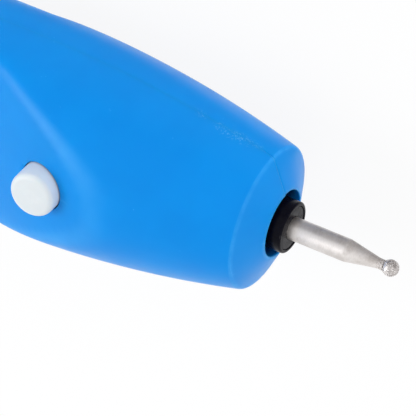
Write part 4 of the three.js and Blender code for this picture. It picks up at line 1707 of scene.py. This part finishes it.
@dataclass
class PressSpring:
    """The coil under the push button; it keeps its length when the button goes down."""

    coil: Coil = field(default_factory=lambda: Coil("button_spring", Axis.UPRIGHT, 2.2, 2.2, 0.2))
    travel: float = 1.5

    def shorten(self, piece: Piece) -> None:
        """Gives the placed coil a mesh of its own; the coil doesn't follow the button down.

        Args:
            piece: The coil, in its place in the frame.
        """
        low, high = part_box(self.coil.node)
        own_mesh(piece)


@dataclass
class Mechanism:
    """The inner solids that keep their shape and get their finishes."""

    paints: dict[str, bpy.types.Material]
    plan: dict[str, tuple[str, ...]] = field(
        default_factory=lambda: {
            "dark_plastic": ("switch_body", "motor_end_bell"),
            "white_plastic": ("switch_plunger",),
            "zinc": ("motor_can", "positive_contact", "negative_contact"),
            "wire_steel": ("motor_shaft",),
            "copper": (
                *("switch_lug_left", "switch_lug_right", "rotor_winding_1", "rotor_winding_2"),
                *("rotor_winding_3", "commutator", "motor_terminal_left", "motor_terminal_right"),
            ),
            "bronze": ("motor_front_bush", "motor_rear_bush", "brush_left", "brush_right"),
            "iron": ("rotor_core",),
            "ferrite": ("magnet_left", "magnet_right"),
            "red_cover": ("wire_red",),
            "black_cover": ("wire_link", "wire_black"),
        }
    )

    def dress(self) -> None:
        """Gives each inner solid its finish."""
        for finish, nodes in self.plan.items():
            for node in nodes:
                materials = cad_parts[node].data.materials
                materials.clear()
                materials.append(self.paints[finish])
                log.info("%s: %s", node, finish)


@dataclass(frozen=True)
class Lamp:
    """A square soft lamp that faces the pen.

    Attributes:
        name: The lamp's name.
        place: Where it stands, in metres.
        radiance: How bright its face looks, where 1 is white.
        shows: Whether shiny surfaces show it.
        size: The side of its square, in metres.
    """

    name: str
    place: tuple[float, float, float]
    radiance: float
    shows: bool = False
    size: float = 0.4

    def stand(self) -> None:
        """Puts the lamp in the scene."""
        data = bpy.data.lights.new(self.name, "AREA")
        data.shape = "SQUARE"
        data.size = self.size
        data.energy = self.radiance * math.pi * self.size**2
        lamp = stood(self.name, data)
        lamp.location = self.place
        lamp.rotation_euler = Vector(self.place).to_track_quat("Z", "Y").to_euler()
        lamp.visible_camera = False
        lamp.visible_glossy = self.shows


@dataclass
class Studio:
    """White floor and surroundings, three soft lamps, a grey card and the camera."""

    right: Vector = field(default_factory=lambda: Vector((0.867, 0.074, -0.492)))
    up: Vector = field(default_factory=lambda: Vector((-0.355, 0.785, -0.5075)))
    distance: float = 0.6
    frame_width: float = 0.052
    sensor: float = 36.0
    nearest: float = 0.01
    farthest: float = 50.0
    aim_right: float = -7.446
    aim_up: float = 1.225
    floor_size: float = 12.0
    floor_tone: Colour = (0.9, 0.9, 0.9)
    floor_glow: float = 0.9
    matt: float = 0.9
    fill: float = 0.65
    card_start: float = 0.0125
    card_distance: float = 0.45
    card_half_length: float = 0.7
    card_height: float = 0.23
    strip_start: float = 0.004
    strip_length: float = 0.35
    strip_slant: float = 0.37
    card_tone: Colour = (0.43, 0.415, 0.41)
    lamps: tuple[Lamp, ...] = (
        Lamp("key", (-0.42, 0.0, 0.45), 4.1, True),
        Lamp("front", (0.56, 0.52, 0.16), 4.4),
        Lamp("side", (0.05, -0.6, 0.28), 1.9),
    )

    def camera(self, place: PenPlace) -> None:
        """Places the camera at the photograph's angle.

        Args:
            place: Where the pen's axis lies in the frame.
        """
        back = self.right.cross(self.up).normalized()
        right = self.right.normalized()
        up = back.cross(right)
        target = place.point(0, 0, 0) + (right * self.aim_right + up * self.aim_up) * MM
        data = bpy.data.cameras.new("camera")
        data.sensor_width = self.sensor
        data.lens = self.sensor * self.distance / self.frame_width
        data.clip_start = self.nearest
        data.clip_end = self.farthest
        camera = stood("camera", data)
        turn = Matrix((right, up, back)).transposed().to_4x4()
        camera.matrix_world = Matrix.Translation(target + back * self.distance) @ turn
        bpy.context.scene.camera = camera

    def seen_white(self, paint: Painter) -> Socket:
        """Returns 1 for rays from the camera and from shiny or clear surfaces, else 0.

        Args:
            paint: Adds the nodes.

        Returns:
            The share of white.
        """
        path = paint.node("LightPath")
        share = path.outputs["Is Camera Ray"]
        for name in ("Is Glossy Ray", "Is Transmission Ray"):
            share = paint.sum("MAXIMUM", share, path.outputs[name])
        return share

    def surroundings(self) -> None:
        """Lights the pen from all round, with white to be seen."""
        world = bpy.data.worlds.new("studio")
        bpy.context.scene.world = world
        paint = Painter(world)
        paint.nodes.clear()
        strength = paint.ranged(self.seen_white(paint), 0, 1, self.fill, 1)
        glow = paint.node("Background", {"Color": (1, 1, 1, 1), "Strength": strength})
        paint.node("OutputWorld", {"Surface": glow.outputs[0]})

    def plain(self, name: str, tone: Colour) -> Painter:
        """Returns the painter of a plain matt finish."""
        paint = Painter(bpy.data.materials.new(name))
        paint.surface(Base_Color=(*tone, 1), Roughness=self.matt, Specular_IOR_Level=0.0)
        return paint

    def sheet(self, name: str, paint: Painter, corners: Corners, faces: Faces) -> Piece:
        """Makes a thin sheet.

        Args:
            name: The sheet's name.
            paint: Has its material.
            corners: Its corners, in metres.
            faces: The corners of each face.

        Returns:
            The sheet.
        """
        mesh = bpy.data.meshes.new(name)
        mesh.from_pydata(corners, [], faces)
        mesh.materials.append(paint.owner)
        return stood(name, mesh)

    def floor(self) -> None:
        """Makes the white floor, which keeps a soft shadow and can't be seen from below."""
        half = self.floor_size / 2
        corners = [(-half, -half, 0), (half, -half, 0), (half, half, 0), (-half, half, 0)]
        paint = self.plain("floor_white", self.floor_tone)
        glow = paint.node("Emission", {"Color": (1, 1, 1, 1), "Strength": 1.0})
        share = paint.times(self.seen_white(paint), self.floor_glow)
        lit = paint.node("MixShader", {0: share, 1: paint.shader.outputs[0], 2: glow.outputs[0]})
        clear = paint.node("BsdfTransparent")
        behind = paint.node("NewGeometry").outputs["Backfacing"]
        both = paint.node("MixShader", {0: behind, 1: lit.outputs[0], 2: clear.outputs[0]})
        paint.feed(paint.nodes["Material Output"].inputs["Surface"], both.outputs[0])
        self.sheet("floor", paint, corners, [(0, 1, 2, 3)])

    def card(self, rim: float) -> None:
        """Lays a grey card beside the pen, out of sight, that only shiny surfaces show.

        It lies on the floor and stands up at its far edge; a strip of it comes nearer beside the burr.

        Args:
            rim: Where the rim plane of the nose lies along the frame's x, in metres.
        """
        half, near, away = self.card_half_length, self.card_start, self.card_distance
        rows = ((near, MM), (away, MM), (away, self.card_height))
        corners = [(x, y, z) for y, z in rows for x in (-half, half)]
        for y in (self.strip_start, near):
            start = rim + MM - self.strip_slant * (y - self.strip_start)
            corners += [(start, y, MM), (start + self.strip_length, y, MM)]
        paint = self.plain("card_grey", self.card_tone)
        card = self.sheet("card", paint, corners, [(0, 1, 3, 2), (2, 3, 5, 4), (6, 7, 9, 8)])
        card.visible_camera = False
        card.visible_diffuse = False
        card.visible_shadow = False

    def build(self, place: PenPlace) -> None:
        """Sets up the whole studio.

        Args:
            place: Where the pen's axis lies in the frame.
        """
        bpy.context.scene.view_settings.view_transform = "Standard"
        self.camera(place)
        self.surroundings()
        self.floor()
        for lamp in self.lamps:
            lamp.stand()
        self.card(place.rim)


def finishes(place: PenPlace) -> dict[str, bpy.types.Material]:
    """Makes every finish once.

    Args:
        place: Where the motor axis lies, for the lines left by turning.

    Returns:
        The materials by name.
    """
    axis = place.axis
    rim = place.rim / MM
    kinds = [
        Moulded(
            "blue_plastic",
            (0.0, 0.272, 0.775),
            (0.0, 0.254, 0.745),
            # The third colour is the pale tone of specks and worn edges and of the painted highlights on
            # rims and ridges.
            (0.08, 0.46, 0.95),
            rough=0.34,
            shine=0.13,
            scuffs=0.45,
            milky=0.35,
            # Painted highlights on the nose rim and on the edge of the nose's hole.
            highlight_rims=((rim - 0.02, 0.26), (rim + 2.2, 0.18)),
            patch=tuple(place.point(-5.5, 11.0, 0.2) / MM),
        ),
        Moulded(
            "white_plastic",
            (0.70, 0.75, 0.78),
            (0.67, 0.72, 0.75),
            (0.82, 0.86, 0.88),
            rough=0.42,
            shine=0.3,
            milky=0.25,
        ),
        Moulded(
            "dark_plastic",
            (0.022, 0.023, 0.026),
            (0.016, 0.017, 0.019),
            (0.08, 0.08, 0.09),
            rough=0.5,
            shine=0.35,
        ),
        GlossBlack("black_plastic", axis),
        Steel("ground_steel", axis, rim + BallBurr.taper_start),
        Metal("wire_steel", (0.62, 0.60, 0.58), (0.40, 0.38, 0.36), 0.24, 0.12, 0.002, (0.3, 1, 1)),
        Metal("zinc", (0.62, 0.64, 0.66), (0.45, 0.46, 0.48), 0.3, 0.5, 0.004),
        Metal("copper", (0.80, 0.36, 0.20), (0.48, 0.20, 0.11), 0.3, 0.15, 0.004, (1, 4, 4)),
        Metal("bronze", (0.60, 0.40, 0.18), (0.38, 0.24, 0.11), 0.42, 0.1, 0.006),
        Metal("iron", (0.30, 0.31, 0.32), (0.16, 0.165, 0.17), 0.42, 0.35, 0.02, (1, 0.02, 0.02)),
        Metal("ferrite", (0.07, 0.07, 0.075), (0.035, 0.035, 0.04), 0.6, 0.15, 0.01),
        Grit("diamond_grit"),
        Covered("red_cover", (0.58, 0.025, 0.02), (0.42, 0.018, 0.015)),
        Covered("black_cover", (0.014, 0.014, 0.016), (0.028, 0.028, 0.03)),
        Covered("cell_film", (0.045, 0.07, 0.10), (0.035, 0.055, 0.08), 0.28, 0.3),
        Covered("cell_band", (0.62, 0.40, 0.10), (0.50, 0.31, 0.07), 0.26, 0.7),
    ]
    return {kind.name: kind.made() for kind in kinds}


def main() -> None:
    """Builds the studio and every piece of the pen, in order, and reports each."""
    logging.basicConfig(level=logging.INFO, format="%(name)s: %(message)s")
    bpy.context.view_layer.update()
    chuck = Chuck()
    place = PenPlace.found(chuck.front)
    Studio().build(place)
    shop = Workshop(place, finishes(place))

    form, button, screws, door = CaseForm(), PushButton(), Screws(), Door()
    case = Case(form, button, screws, door)
    shop.finished(case.upper(shop), "case", "upper_shell", "blue_plastic")
    shop.finished(case.lower(shop), "case", "lower_shell", "blue_plastic")
    shop.finished(door.door(shop, form), "door", "battery_door", "blue_plastic")
    shop.finished(button.cap(shop), "button", "button_cap", "white_plastic")
    shop.finished(chuck.sleeve(shop), "spindle", "chuck_sleeve", "black_plastic")
    burr = BallBurr()
    shop.finished(chuck.insert(shop, burr.shank_radius), "spindle", "chuck_insert", "black_plastic")
    shop.finished(burr.shank(shop), "burr", "burr_shank", "burr_steel", "ground_steel")
    shop.finished(burr.ball(shop), "burr", "burr_ball", "diamond_grit")
    cells = Cells()
    for node in cells.nodes:
        cell = cells.cell(shop, node)
        shop.finished(cell, "case", node, "cell_jacket", "zinc", "cell_film", "cell_band")
    bay_coil = Coil("battery_spring", Axis.LONG, 3.8, 2.3, 0.4)
    shop.finished(bay_coil.made(shop), "case", bay_coil.node, "spring_steel", "wire_steel")
    press = PressSpring()
    press_coil = press.coil.made(shop)
    press.shorten(shop.finished(press_coil, "case", press.coil.node, "spring_steel", "wire_steel"))
    for node in screws.nodes:
        shop.finished(screws.screw(shop, node), "case", node, "zinc_plate", "zinc")
    Mechanism(shop.paints).dress()


if __name__ == "__main__":
    main()
